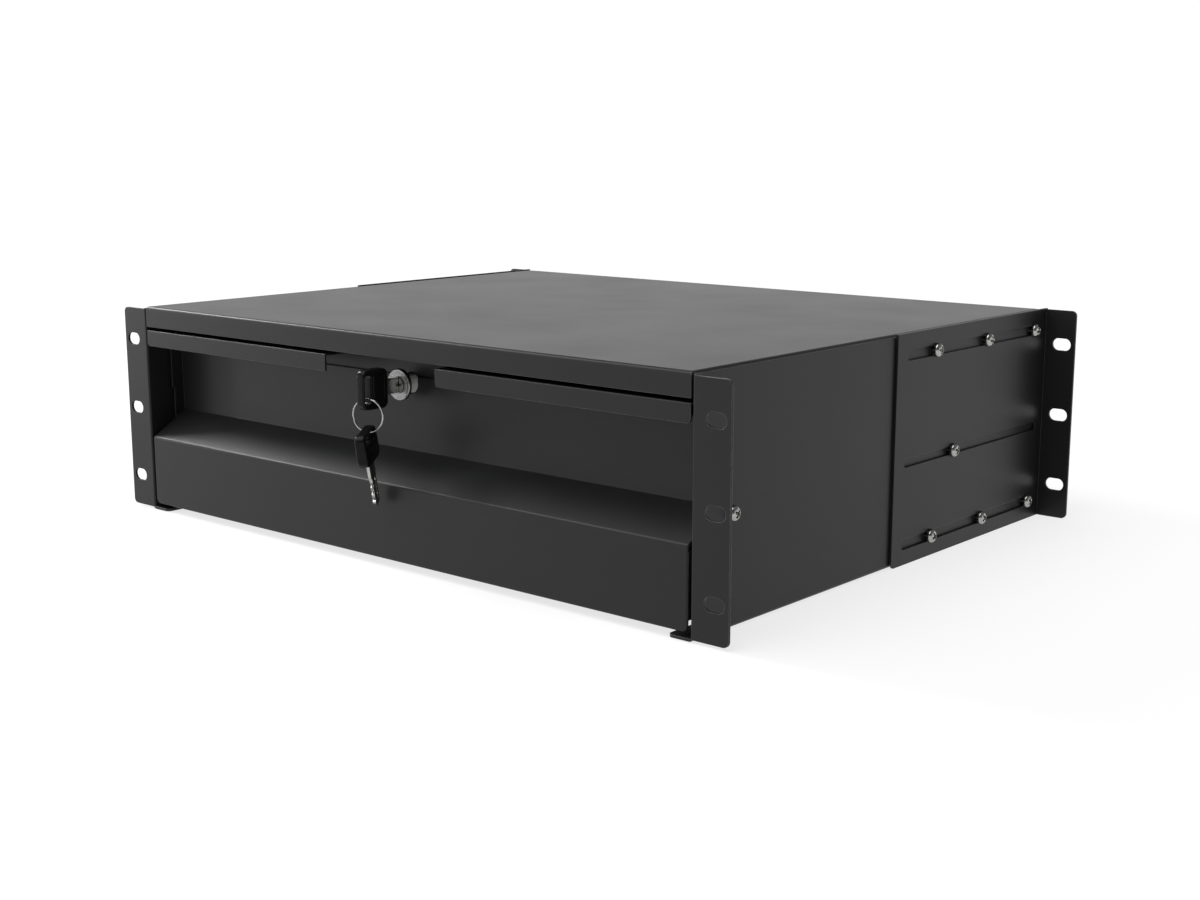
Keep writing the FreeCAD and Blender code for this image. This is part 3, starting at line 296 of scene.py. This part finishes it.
class Finish(Nodes):
    """A material with one principled shader and the nodes that feed it."""

    def __init__(self, name, **uniform):
        self.material = bpy.data.materials.new(name)
        self.material.use_nodes = True
        super().__init__(self.material.node_tree)
        self.tree.nodes.clear()
        self.shader = self.tree.nodes.new("ShaderNodeBsdfPrincipled")
        output = self.tree.nodes.new("ShaderNodeOutputMaterial")
        self.tree.links.new(self.shader.outputs["BSDF"], output.inputs["Surface"])
        for socket, value in uniform.items():
            self.shader.inputs[socket.replace("_", " ")].default_value = value

    def along(self, axis):
        """The piece's own coordinate in metres along one axis."""
        own = self.node("ShaderNodeTexCoord", {}, {}, "Object")
        return self.node("ShaderNodeSeparateXYZ", {}, {0: own}, axis)

    def place(self, scale=(1.0, 1.0, 1.0)):
        """The piece's own coordinates in metres, stretched by a scale along each axis."""
        own = self.node("ShaderNodeTexCoord", {}, {}, "Object")
        return self.node("ShaderNodeMapping", {}, {"Vector": own, "Scale": scale})

    def noise(self, size, detail=2.0, stretch=(1.0, 1.0, 1.0)):
        """Cloudy noise from 0 to 1 whose spots are about one size across, in metres."""
        values = {"Vector": self.place(stretch), "Scale": 1.0 / size, "Detail": detail}
        return self.node("ShaderNodeTexNoise", {}, values, "Fac")

    def cells(self, size):
        """A random level from 0 to 1 for each crystal of about one size."""
        values = {"Vector": self.place(), "Scale": 1.0 / size}
        colour = self.node("ShaderNodeTexVoronoi", {}, values, "Color")
        return self.node("ShaderNodeSeparateColor", {}, {"Color": colour}, "Red")

    def mix(self, share, first, second):
        """A colour between two colours."""
        return self.node("ShaderNodeMix", {"data_type": "RGBA"}, {0: share, 6: first, 7: second}, 2)

    def soft_edges(self, radius):
        """The normal with every sharp edge rounded off, and a mask that is 1 along those edges."""
        rounded = self.node("ShaderNodeBevel", {"samples": 8}, {"Radius": radius}, "Normal")
        plain = self.node("ShaderNodeNewGeometry", {}, {}, "Normal")
        return rounded, self.step(1.0 - self.dot(rounded, plain), 0.01, 0.2)

    def bump(self, height, depth, normal=None):
        """The normal over a relief of the given depth in metres."""
        values = {"Strength": 1.0, "Distance": depth, "Height": height}
        if normal is not None:
            values["Normal"] = normal
        return self.node("ShaderNodeBump", {}, values, "Normal")

    def feed(self, **sockets):
        for socket, value in sockets.items():
            self.tree.links.new(value.socket, self.shader.inputs[socket.replace("_", " ")])
        return self.material


# Finishes

def powder_coat():
    """Satin black coat: cured grain and orange peel, faint clouds of gloss, a painted highlight along thin edges.

    The painted edge highlight is strongest along the front edges, and along the top one more than the rest.
    """
    coat = Finish("powder_coat", IOR=1.31)
    rounded, edge = coat.soft_edges(0.55 * MM)
    back = coat.step(coat.along("Y"), 1 * MM, 5 * MM)
    top = coat.step(coat.along("Z"), 62 * MM, 65 * MM)
    clouds = coat.noise(60 * MM, 3.0)
    peel = coat.noise(1.3 * MM, 2.0)
    grain = coat.noise(0.35 * MM, 1.0)
    # painted highlight: the edges are lighter in patches, most at the front and at the top edge
    edge_highlight_patches = 0.26 + coat.step(coat.noise(7 * MM, 3.0), 0.42, 0.62) * 0.23
    edge_highlight = edge * edge_highlight_patches * (1.0 - back * 0.85) * (1.0 + top * 0.8)
    plain = coat.mix(clouds, (0.0088, 0.0089, 0.0092, 1), (0.0118, 0.0119, 0.0122, 1))
    # the pale grey on the edges is a painted highlight
    colour = coat.mix(edge_highlight, plain, (0.26, 0.261, 0.263, 1))
    roughness = 0.31 + clouds * 0.08 + grain * 0.05 - edge * 0.06
    relief = peel * 0.7 + grain * 0.3
    normal = coat.bump(relief, 0.03 * MM, rounded)
    return coat.feed(Base_Color=colour, Roughness=roughness, Normal=normal)


def nickel_screws():
    """Bright nickel with a faint haze and fine handling marks."""
    plate = Finish("nickel_screws", Metallic=1.0)
    haze = plate.noise(1.6 * MM, 3.0)
    marks = plate.noise(0.25 * MM, 2.0, (1.0, 0.12, 1.0))
    colour = plate.mix(haze, (0.30, 0.295, 0.285, 1), (0.46, 0.455, 0.44, 1))
    roughness = 0.08 + haze * 0.10 + marks * 0.06
    return plate.feed(Base_Color=colour, Roughness=roughness, Normal=plate.bump(marks, 0.006 * MM))


def zinc_slides():
    """Zinc plated strip steel: rolling lines along the slide and cloudy passivation."""
    plate = Finish("zinc_slides", Metallic=1.0)
    rounded, edge = plate.soft_edges(0.35 * MM)
    lines = plate.noise(0.8 * MM, 3.0, (1.0, 0.02, 1.0))
    clouds = plate.noise(18 * MM, 4.0)
    dull = plate.mix(clouds, (0.42, 0.43, 0.44, 1), (0.60, 0.61, 0.62, 1))
    colour = plate.mix(edge * 0.5, dull, (0.75, 0.75, 0.76, 1))
    roughness = 0.28 + clouds * 0.16 + lines * 0.08
    normal = plate.bump(lines, 0.02 * MM, rounded)
    return plate.feed(Base_Color=colour, Roughness=roughness, Normal=normal)


def steel_balls():
    """Polished bearing steel with a trace of grease."""
    polish = Finish("steel_balls", Metallic=1.0)
    grease = polish.noise(2.0 * MM, 2.0)
    colour = polish.mix(grease, (0.62, 0.60, 0.55, 1), (0.74, 0.74, 0.75, 1))
    return polish.feed(Base_Color=colour, Roughness=0.06 + grease * 0.12)


def lock_chrome():
    """Satin chrome, turned: fine rings around the lock's axis. The barrel behind the face is rougher and less
    metallic, and its pale colour is a painted highlight.
    """
    plate = Finish("lock_chrome")
    low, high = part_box("lock_body")
    level = (low.z + high.z) / 2
    rounded, edge = plate.soft_edges(0.25 * MM)
    across = plate.along("X")
    up = plate.along("Z") - level
    radius = (across * across + up * up) ** 0.5
    rings = plate.math("SINE", radius * (2 * math.pi / (0.22 * MM)), 0.0)
    haze = plate.noise(2.5 * MM, 3.0)
    dull = plate.mix(haze, (0.20, 0.20, 0.20, 1), (0.29, 0.29, 0.29, 1))
    face = plate.mix(edge * 0.6, dull, (0.45, 0.45, 0.44, 1))
    # the barrel behind the face: a painted highlight in its pale colour, and rougher and less metallic
    barrel = plate.step(plate.along("Y"), low.y + FACE_THICK - 0.1 * MM, low.y + FACE_THICK + 0.1 * MM)
    colour = plate.mix(barrel, face, (0.80, 0.80, 0.78, 1))
    roughness = 0.22 + haze * 0.12 + barrel * 0.2
    normal = plate.bump(rings, 0.002 * MM, rounded)
    return plate.feed(Base_Color=colour, Metallic=1.0 - barrel * 0.7, Roughness=roughness, Normal=normal)


def zinc_lock_parts():
    """Zinc plated lock hardware with small spangles and lighter edges."""
    plate = Finish("zinc_lock_parts", Metallic=1.0)
    rounded, edge = plate.soft_edges(0.3 * MM)
    spangle = plate.cells(1.2 * MM)
    clouds = plate.noise(5 * MM, 3.0)
    dull = plate.mix(spangle * 0.4 + clouds * 0.6, (0.40, 0.40, 0.39, 1), (0.62, 0.62, 0.60, 1))
    colour = plate.mix(edge * 0.6, dull, (0.78, 0.78, 0.76, 1))
    roughness = 0.26 + clouds * 0.18
    normal = plate.bump(spangle, 0.008 * MM, rounded)
    return plate.feed(Base_Color=colour, Roughness=roughness, Normal=normal)


def key_plastic():
    """Glossy black moulding: shallow waviness, fingerprints in the gloss."""
    moulding = Finish("key_plastic", IOR=1.19)
    wave = moulding.noise(4 * MM, 1.0)
    prints = moulding.noise(0.9 * MM, 3.0, (1.0, 1.0, 0.3))
    colour = moulding.mix(wave, (0.004, 0.004, 0.0043, 1), (0.008, 0.008, 0.0086, 1))
    roughness = 0.10 + prints * 0.14
    return moulding.feed(Base_Color=colour, Roughness=roughness, Normal=moulding.bump(wave, 0.03 * MM))


def key_steel():
    """Nickel plated key steel, ground along the blade, with cutting marks."""
    plate = Finish("key_steel", Metallic=1.0)
    lines = plate.noise(0.3 * MM, 2.0, (1.0, 0.15, 0.6))
    haze = plate.noise(2.2 * MM, 3.0)
    colour = plate.mix(haze, (0.26, 0.257, 0.25, 1), (0.52, 0.515, 0.50, 1))
    roughness = 0.10 + haze * 0.10 + lines * 0.10
    return plate.feed(Base_Color=colour, Roughness=roughness, Normal=plate.bump(lines, 0.008 * MM))


def floor_paint():
    """Matt pale floor of milk glass, lit from beneath so that shadows on it wash out."""
    paint = Finish("floor_paint", Roughness=0.9, Emission_Color=(1, 1, 1, 1), Emission_Strength=0.75)
    clouds = paint.noise(0.6, 2.0)
    return paint.feed(Base_Color=paint.mix(clouds, (0.21, 0.21, 0.21, 1), (0.23, 0.23, 0.23, 1)))


# Mesh making

class Form:
    """Points and faces of one piece, gathered from surfaces that are grids of points."""

    def __init__(self):
        self.points = []
        self.faces = []
        self.count = 0

    def add(self, points, closed=True, first_pole=None, last_pole=None, outward=True):
        """Adds the surface over points[row, column]; columns always run round and join up.

        closed joins the last row to the first. A pole closes the first or last row with a fan.
        The faces are turned so that the enclosed volume is positive, which points them outwards.
        """
        rows, columns = points.shape[:2]
        index = np.arange(rows * columns).reshape(rows, columns)
        around = np.hstack([index, index[:, :1]])
        if closed:
            around = np.vstack([around, around[:1]])
        corners = [around[:-1, :-1], around[:-1, 1:], around[1:, 1:], around[1:, :-1]]
        quads = np.stack(corners, axis=-1).reshape(-1, 4)
        cloud = points.reshape(-1, 3)
        triangles = []
        for row, pole, flip in ((0, first_pole, False), (rows - 1, last_pole, True)):
            if pole is None:
                continue
            ring = index[row]
            following = np.roll(ring, -1)
            tip = np.full(columns, len(cloud))
            cloud = np.vstack([cloud, pole])
            order = [ring, following, tip] if flip else [following, ring, tip]
            triangles.append(np.stack(order, axis=-1))
        faces = [quads] + triangles
        if outward and self.volume(cloud, faces) < 0:
            faces = [group[:, ::-1] for group in faces]
        self.points.append(cloud)
        for group in faces:
            self.faces += (group + self.count).tolist()
        self.count += len(cloud)

    @staticmethod
    def volume(cloud, faces):
        """Volume inside the faces, summed from the tetrahedra between each triangle and one point."""
        middle = cloud.mean(axis=0)
        total = 0.0
        for group in faces:
            for last in range(2, group.shape[1]):
                a, b, c = (cloud[group[:, i]] - middle for i in (0, last - 1, last))
                total += np.einsum("ij,ij->i", a, np.cross(b, c)).sum() / 6
        return total

    def mesh_object(self, name, material, sharp=40.0):
        mesh = bpy.data.meshes.new(name)
        mesh.from_pydata(np.vstack(self.points).tolist(), [], self.faces)
        mesh.shade_smooth()
        mesh.set_sharp_from_angle(angle=math.radians(sharp))
        mesh.materials.append(material)
        piece = bpy.data.objects.new(name, mesh)
        bpy.context.scene.collection.objects.link(piece)
        return piece

    def piece(self, name, slot, body, *nodes):
        """The finished piece: it rides on a body and stands for its nodes."""
        made = self.mesh_object(name, finishes[slot])
        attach(made, body)
        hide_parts(*nodes)
        return made


def ease(value):
    """0 below 0, 1 above 1, smooth between."""
    value = np.clip(value, 0.0, 1.0)
    return value * value * (3 - 2 * value)


def turned(radius, height, columns=96):
    """Points of a surface of revolution: (radius cos t, radius sin t, height), a column for each turn t."""
    turn = np.linspace(0.0, 2 * math.pi, columns, endpoint=False)[None, :]
    radius = np.array(radius)[:, None]
    height = np.repeat(np.array(height)[:, None], columns, axis=1)
    return np.stack([radius * np.cos(turn), radius * np.sin(turn), height], axis=-1)


def aimed(points, place, axis):
    """Points made around Z, set at a place with their Z along a level axis."""
    axis = np.array(axis, float)
    side = np.cross((0.0, 0.0, 1.0), axis)
    over = np.cross(axis, side)
    return np.array(place) + points[..., :1] * side + points[..., 1:2] * over + points[..., 2:] * axis


# Screws

def screw_surface(head_radius, head_edge, head_height, length, turn):
    """A pan head screw on Z with its seat at 0, from the shank's end up to the middle of the dome.

    The dome is an ellipse from the head's edge to its top. The cross recess lowers it by a depth
    that falls off along each arm and rises steeply at the arm's two walls.
    """
    shank = [(SHANK_TIP_RADIUS, -length), (SHANK_RADIUS - SCREW_CHAMFER, -length),
             (SHANK_RADIUS, SCREW_CHAMFER - length), (SHANK_RADIUS, 0.0),
             (head_radius - SCREW_CHAMFER / 2, 0.0), (head_radius, SCREW_CHAMFER / 2)]
    share = np.linspace(0.0, 1.0, DOME_ROWS)
    dome_radius = head_radius * np.cos(share * math.pi / 2 * DOME_TOP_SHARE)
    dome_level = head_edge + (head_height - head_edge) * np.sin(share * math.pi / 2)
    lower_radius, lower_level = np.array(shank).T
    surface = turned(np.concatenate([lower_radius, dome_radius]), np.concatenate([lower_level, dome_level]))
    x, y, level = surface[..., 0], surface[..., 1], surface[..., 2]
    cos, sin = math.cos(turn), math.sin(turn)
    along, across = np.abs(x * cos + y * sin), np.abs(y * cos - x * sin)
    far, near = np.maximum(along, across), np.minimum(along, across)
    walls = ease((RECESS_HALF_WIDTH - near) / RECESS_WALL + 0.5)
    arm = ease((RECESS_REACH * head_radius / HEAD_RADIUS - far) / RECESS_RUNOUT)
    depth = RECESS_DEPTH * head_height / PAN_HEAD_HEIGHT
    surface[..., 2] = np.where(level > head_edge / 2, level - walls * arm * depth, level)
    return surface


def add_screw(form, place, axis, head_radius, head_edge, head_height, length, turn):
    surface = aimed(screw_surface(head_radius, head_edge, head_height, length, turn), place, axis)
    form.add(surface, closed=False, first_pole=surface[0].mean(axis=0), last_pole=surface[-1].mean(axis=0))


def from_middle(node):
    """The nearest and the farthest distance of a side's node from the middle plane."""
    low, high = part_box(node)
    return sorted((abs(low.x), abs(high.x)))


def make_side_screws(side, sign):
    """The screws that hold one side's bracket and slides, each at another angle, as it was driven home."""
    case_face = from_middle("rear_bracket_" + side)[0] - BRACKET_GAP
    bracket_face = case_face + SEAT_OVER_CASE
    outward = (sign, 0, 0)

    low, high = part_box("bracket_screws_" + side)
    tip, top = from_middle("bracket_screws_" + side)
    head_height = top - bracket_face
    form = Form()
    columns = np.linspace(low.y + HEAD_RADIUS, high.y - HEAD_RADIUS, 3)
    places = [(y, z) for y in columns for z in (low.z + HEAD_RADIUS, high.z - HEAD_RADIUS)]
    for number, (y, z) in enumerate(places):
        add_screw(form, (bracket_face * sign, y, z), outward, HEAD_RADIUS, HEAD_EDGE, head_height,
                  bracket_face - tip, 0.5 + 0.9 * number)
    form.piece("bracket_pan_screws_" + side, "nickel_screws", "case", "bracket_screws_" + side)

    low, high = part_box("slide_screws_" + side)
    tip, top = from_middle("slide_screws_" + side)
    form = Form()
    for y, seat in ((low.y + HEAD_RADIUS, case_face), (high.y - HEAD_RADIUS, bracket_face)):
        add_screw(form, (seat * sign, y, (low.z + high.z) / 2), outward, HEAD_RADIUS, HEAD_EDGE,
                  head_height, seat - tip, 0.2 + 30 * y)
    form.piece("slide_pan_screws_" + side, "nickel_screws", "case", "slide_screws_" + side)

    low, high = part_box("drawer_screws_" + side)
    top, tip = from_middle("drawer_screws_" + side)
    seat = top + DRAWER_HEAD_HEIGHT
    form = Form()
    for y in np.linspace(low.y + DRAWER_HEAD_RADIUS, high.y - DRAWER_HEAD_RADIUS, 3):
        add_screw(form, (seat * sign, y, (low.z + high.z) / 2), (-sign, 0, 0), DRAWER_HEAD_RADIUS,
                  DRAWER_HEAD_EDGE, DRAWER_HEAD_HEIGHT, tip - seat, 0.4 + 25 * y)
    form.piece("drawer_pan_screws_" + side, "nickel_screws", "drawer", "drawer_screws_" + side)


def make_cam_screw():
    low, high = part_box("cam_screw")
    seat = high.y - CAM_HEAD_HEIGHT
    form = Form()
    add_screw(form, ((low.x + high.x) / 2, seat, (low.z + high.z) / 2), (0, 1, 0), CAM_HEAD_RADIUS,
              DRAWER_HEAD_EDGE, CAM_HEAD_HEIGHT, seat - low.y, 0.6)
    form.piece("cam_pan_screw", "nickel_screws", "plug", "cam_screw")


# Lock

def make_lock_barrel():
    """The barrel with its face: one profile carried round the lock's axis and back through the bore.

    On the threaded stretch the radius falls and rises once per pitch along the axis and once per
    turn, which makes the thread; above and below it is cut off level at the two flats.
    """
    low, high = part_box("lock_body")
    front, end = low.y, high.y
    shoulder = front + FACE_THICK
    face_radius = (high.z - low.z) / 2
    ring_outer = face_radius - FACE_RING_OUT
    ring_inner = ring_outer - FACE_RING_WIDE
    rim_middle = face_radius - FACE_RIM_ROUND
    ring_floor = front + FACE_RING_DEEP
    face = [(BORE_RADIUS, front + BORE_CHAMFER), (BORE_RADIUS + 0.6 * BORE_LIP, front + 0.05 * MM),
            (BORE_RADIUS + BORE_LIP, front), (ring_inner, front), (ring_inner + FACE_RING_DEEP, ring_floor),
            (ring_outer - FACE_RING_DEEP, ring_floor), (ring_outer, front)]
    for turn in np.linspace(0.0, math.pi / 2, 7):
        face.append((rim_middle + FACE_RIM_ROUND * math.sin(turn),
                     front + FACE_RIM_ROUND * (1 - math.cos(turn))))
    face.append((face_radius, shoulder - FACE_BACK_CHAMFER))
    face.append((face_radius - FACE_BACK_CHAMFER, shoulder))
    face_radii, face_levels = np.array(face).T
    rows = int((end - shoulder) / THREAD_PITCH * 8)
    radius = np.concatenate([face_radii, [BARREL_RADIUS] * rows, [BORE_RADIUS, BORE_RADIUS]])
    level = np.concatenate([face_levels, np.linspace(shoulder, end, rows), [end, (front + end) / 2]])
    points = turned(radius, level, BARREL_COLUMNS)
    x, y, along = points[..., 0], points[..., 1], points[..., 2]
    turns = np.linspace(0.0, 1.0, BARREL_COLUMNS, endpoint=False)[None, :]
    groove = THREAD_DEPTH * np.abs(((along - shoulder) / THREAD_PITCH - turns) % 1.0 * 2 - 1)
    threaded = (along > shoulder + PLAIN_LENGTH) & (np.hypot(x, y) > (BORE_RADIUS + BARREL_RADIUS) / 2)
    shrink = np.where(threaded, 1 - groove / BARREL_RADIUS, 1.0)
    behind = along > shoulder + 0.01 * MM
    flat = np.where(behind, np.clip(y * shrink, -BARREL_HALF_FLATS, BARREL_HALF_FLATS), y * shrink)
    points = np.stack([x * shrink, flat, along], axis=-1)
    form = Form()
    middle = ((low.x + high.x) / 2, 0.0, (low.z + high.z) / 2)
    form.add(aimed(points, middle, (0, 1, 0)), closed=True)
    form.piece("lock_barrel", "lock_chrome", "drawer", "lock_body")


# Keys, made as they stand in the lock, with the blade along Y and the broad faces on X

def rounded_outline(half_y, half_z, corner, count):
    """Points spaced evenly along a rectangle whose corners are quarter circles."""
    bend = np.linspace(0.0, math.pi / 2, 12)
    sides = []
    for quarter in range(4):
        turn = quarter * math.pi / 2
        sign_y = 1 if quarter in (0, 3) else -1
        sign_z = 1 if quarter in (0, 1) else -1
        sides.append(np.stack([sign_y * (half_y - corner) + corner * np.cos(bend + turn),
                               sign_z * (half_z - corner) + corner * np.sin(bend + turn)], axis=-1))
    loop = np.vstack(sides + [sides[0][:1]])
    travel = np.concatenate([[0.0], np.cumsum(np.linalg.norm(np.diff(loop, axis=0), axis=1))])
    stops = np.linspace(0.0, travel[-1], count, endpoint=False)
    return np.stack([np.interp(stops, travel, loop[:, i]) for i in range(2)], axis=-1)


def bow_surface():
    """The moulded bow as one ring-shaped surface around its slot.

    Each column runs from a point of the slot's outline to the point of the outer outline that it
    faces. Along the rows the section goes up the slot's wall, over its rounded edge, across the
    broad face, round the outer edge and back along the other side. The grip panel stands proud.
    """
    low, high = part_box("key_bow")
    middle_y, middle_z = (low.y + high.y) / 2, (low.z + high.z) / 2
    outer = rounded_outline((high.y - low.y) / 2, (high.z - low.z) / 2, BOW_CORNER, 144)
    outer = outer + (middle_y, middle_z)
    slot_y = low.y + SLOT_INSET
    spine = np.stack([np.full(len(outer), slot_y),
                      np.clip(outer[:, 1], middle_z - SLOT_HALF_LINE, middle_z + SLOT_HALF_LINE)], axis=-1)
    facing = outer - spine
    facing /= np.linalg.norm(facing, axis=1)[:, None]
    inner = spine + facing * SLOT_HALF_WIDTH
    quarter = np.linspace(0.0, math.pi / 2, 7)
    rows = []
    for angle in quarter:
        rows.append((inner + facing * SLOT_EDGE * (1 - math.cos(angle)),
                     BOW_HALF_THICK - SLOT_EDGE * (1 - math.sin(angle))))
    for share in np.linspace(0.0, 1.0, 26)[1:-1]:
        start, stop = inner + facing * SLOT_EDGE, outer - facing * BOW_EDGE
        rows.append((start + (stop - start) * share, BOW_HALF_THICK))
    for angle in quarter:
        rows.append((outer - facing * BOW_EDGE * (1 - math.sin(angle)),
                     BOW_HALF_THICK - BOW_EDGE * (1 - math.cos(angle))))
    flat = np.array([spots for spots, height in rows])
    height = np.repeat(np.array([height for spots, height in rows])[:, None], len(outer), axis=1)
    panel_low_y = slot_y + SLOT_HALF_WIDTH + PANEL_INSET / 3
    inside = np.minimum.reduce([
        flat[..., 0] - panel_low_y, high.y - PANEL_INSET - flat[..., 0],
        flat[..., 1] - low.z - PANEL_INSET, high.z - PANEL_INSET - flat[..., 1]])
    height = height + PANEL_RISE * ease(inside / PANEL_EDGE)
    top = np.stack([height, flat[..., 0], flat[..., 1]], axis=-1)
    bottom = top[::-1] * (-1.0, 1.0, 1.0)
    return np.vstack([top, bottom])


def blade_surface():
    """The blade as sections along Y: each is a rounded rectangle between a top and a bottom line.

    The bottom line has the key's cuts. A milled groove sinks into both sides of the narrow part.
    """
    low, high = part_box("key_blade")
    level = (low.z + high.z) / 2
    shoulder_half = (high.z - low.z) / 2
    half_thick = (high.x - low.x) / 2
    start = low.y + TANG_LENGTH - BLADE_SINK
    shoulder_end = low.y + TANG_LENGTH + SHOULDER_LENGTH
    tip = high.y
    pitch = (tip - shoulder_end - BLADE_TIP) / (len(KEY_CUTS) + 1)
    shoulder = [(start, shoulder_half), (shoulder_end - BLADE_CORNER, shoulder_half),
                (shoulder_end, shoulder_half - BLADE_CORNER),
                (shoulder_end + SHOULDER_STEP, BLADE_HALF_HEIGHT)]
    top_line = shoulder + [(tip - BLADE_TIP, BLADE_HALF_HEIGHT), (tip, BLADE_HALF_HEIGHT / 4)]
    bottom_line = [(y, -z) for y, z in shoulder]
    for number in reversed(range(len(KEY_CUTS))):
        y = tip - BLADE_TIP - pitch * (number + 0.5)
        bottom_line.append((y - pitch / 2, -BLADE_HALF_HEIGHT + KEY_CUTS[number] * MM))
        bottom_line.append((y, -BLADE_HALF_HEIGHT))
    bottom_line += [(tip - BLADE_TIP, -BLADE_HALF_HEIGHT), (tip, -BLADE_HALF_HEIGHT / 4)]
    stops = np.unique(np.concatenate([np.arange(start, tip, BLADE_SPACING), [tip, shoulder_end],
                                      [y for y, z in top_line], [y for y, z in bottom_line]]))
    top = np.interp(stops, *np.array(top_line).T)[:, None]
    bottom = np.interp(stops, *np.array(bottom_line).T)[:, None]
    side = np.linspace(0.0, 1.0, 26)
    rise = np.concatenate([side, side[::-1]])[None, :]
    sign = np.concatenate([np.ones(26), -np.ones(26)])[None, :]
    height = bottom + (top - bottom) * rise
    from_edge = np.minimum(height - bottom, top - height)
    thick = half_thick - BLADE_EDGE * (1 - ease(from_edge / BLADE_EDGE / 1.5))
    groove_wall = ease((GROOVE_HALF_WIDTH - np.abs(height - GROOVE_LEVEL)) / GROOVE_WALL)
    groove_start = ease((stops[:, None] - shoulder_end + GROOVE_LEAD) / GROOVE_RUNOUT)
    thick = thick - GROOVE_DEPTH * groove_wall * groove_start
    along = np.repeat(stops[:, None], height.shape[1], axis=1)
    return np.stack([thick * sign, along, height + level], axis=-1)


def turn_about(axis, angle):
    """Rotation matrix about X, Y or Z, given as 0, 1 or 2."""
    first, second = (axis + 1) % 3, (axis + 2) % 3
    matrix = np.eye(3)
    matrix[first, first] = matrix[second, second] = math.cos(angle)
    matrix[first, second] = -math.sin(angle)
    matrix[second, first] = math.sin(angle)
    return matrix


def hung(points):
    """Points of a key in the lock, moved to where the spare hangs by the far end of its slot."""
    low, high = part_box("key_bow")
    slot_end = np.array([0.0, low.y + SLOT_INSET, (low.z + high.z) / 2 + SLOT_HALF_LINE])
    swing = next(joint for joint in frame["joints"] if joint["name"] == "spare_key_swing")
    pose = turn_about(2, SPARE_TURN) @ turn_about(1, SPARE_PITCH) @ turn_about(0, SPARE_TILT)
    return (points - slot_end) @ pose.T + np.array(swing["pos_m"])


def make_keys():
    bow, blade = bow_surface(), blade_surface()
    for stem, body, place in (("key", "key", lambda points: points), ("spare_key", "spare_key", hung)):
        form = Form()
        form.add(place(bow), closed=True)
        form.piece(stem + "_grip", "key_plastic", body, stem + "_bow")
        form = Form()
        cut = place(blade)
        form.add(cut, closed=False, first_pole=cut[0].mean(axis=0), last_pole=cut[-1].mean(axis=0))
        form.piece(stem + "_cut_blade", "key_steel", body, stem + "_blade")


def make_split_ring():
    """A flat wire wound nearly twice around: a rounded rectangle carried along a circle.

    The wire steps sideways once, just before it comes round to its own start.
    """
    low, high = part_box("key_ring")
    middle = np.array([(low.x + high.x) / 2, (low.y + high.y) / 2, (low.z + high.z) / 2])
    radius = (high.z - low.z) / 2 - WIRE_RADIUS
    angle = np.linspace(0.0, 4 * math.pi - COIL_JOG, 320)[:, None]
    offset = COIL_HALF_STEP * (2 * ease((angle - 2 * math.pi + COIL_JOG) / COIL_JOG) - 1)
    around = np.linspace(0.0, 2 * math.pi, 20, endpoint=False)[None, :]
    wide = np.sign(np.cos(around)) * np.abs(np.cos(around)) ** 0.7 * COIL_HALF_WIDE
    thick = np.sign(np.sin(around)) * np.abs(np.sin(around)) ** 0.7 * COIL_HALF_THICK
    reach = radius + wide
    in_plane = reach * np.cos(angle + COIL_START)
    upward = reach * np.sin(angle + COIL_START)
    normal = offset + thick
    across = np.array([math.cos(RING_TURN), math.sin(RING_TURN), 0.0])
    out = np.array([-math.sin(RING_TURN), math.cos(RING_TURN), 0.0])
    points = middle + in_plane[..., None] * across + normal[..., None] * out
    points = points + upward[..., None] * np.array([0.0, 0.0, 1.0])
    form = Form()
    form.add(points, closed=False, first_pole=points[0].mean(axis=0), last_pole=points[-1].mean(axis=0))
    form.piece("split_ring", "key_steel", "ring", "key_ring")


finishes = {
    "powder_coat": powder_coat(),
    "nickel_screws": nickel_screws(),
    "zinc_slides": zinc_slides(),
    "steel_balls": steel_balls(),
    "lock_chrome": lock_chrome(),
    "zinc_lock_parts": zinc_lock_parts(),
    "key_plastic": key_plastic(),
    "key_steel": key_steel(),
}


def dress_nodes():
    """Gives every node the finish of its slot in the record."""
    for part in frame["record"]["subparts"]:
        node = frame["nodes"][part["node"]]
        node.data.materials.clear()
        node.data.materials.append(finishes[part["material_slot"]])


make_camera()
make_world()
make_lights()
make_floor()
dress_nodes()
make_side_screws("right", 1.0)
make_side_screws("left", -1.0)
make_cam_screw()
make_lock_barrel()
make_keys()
make_split_ring()
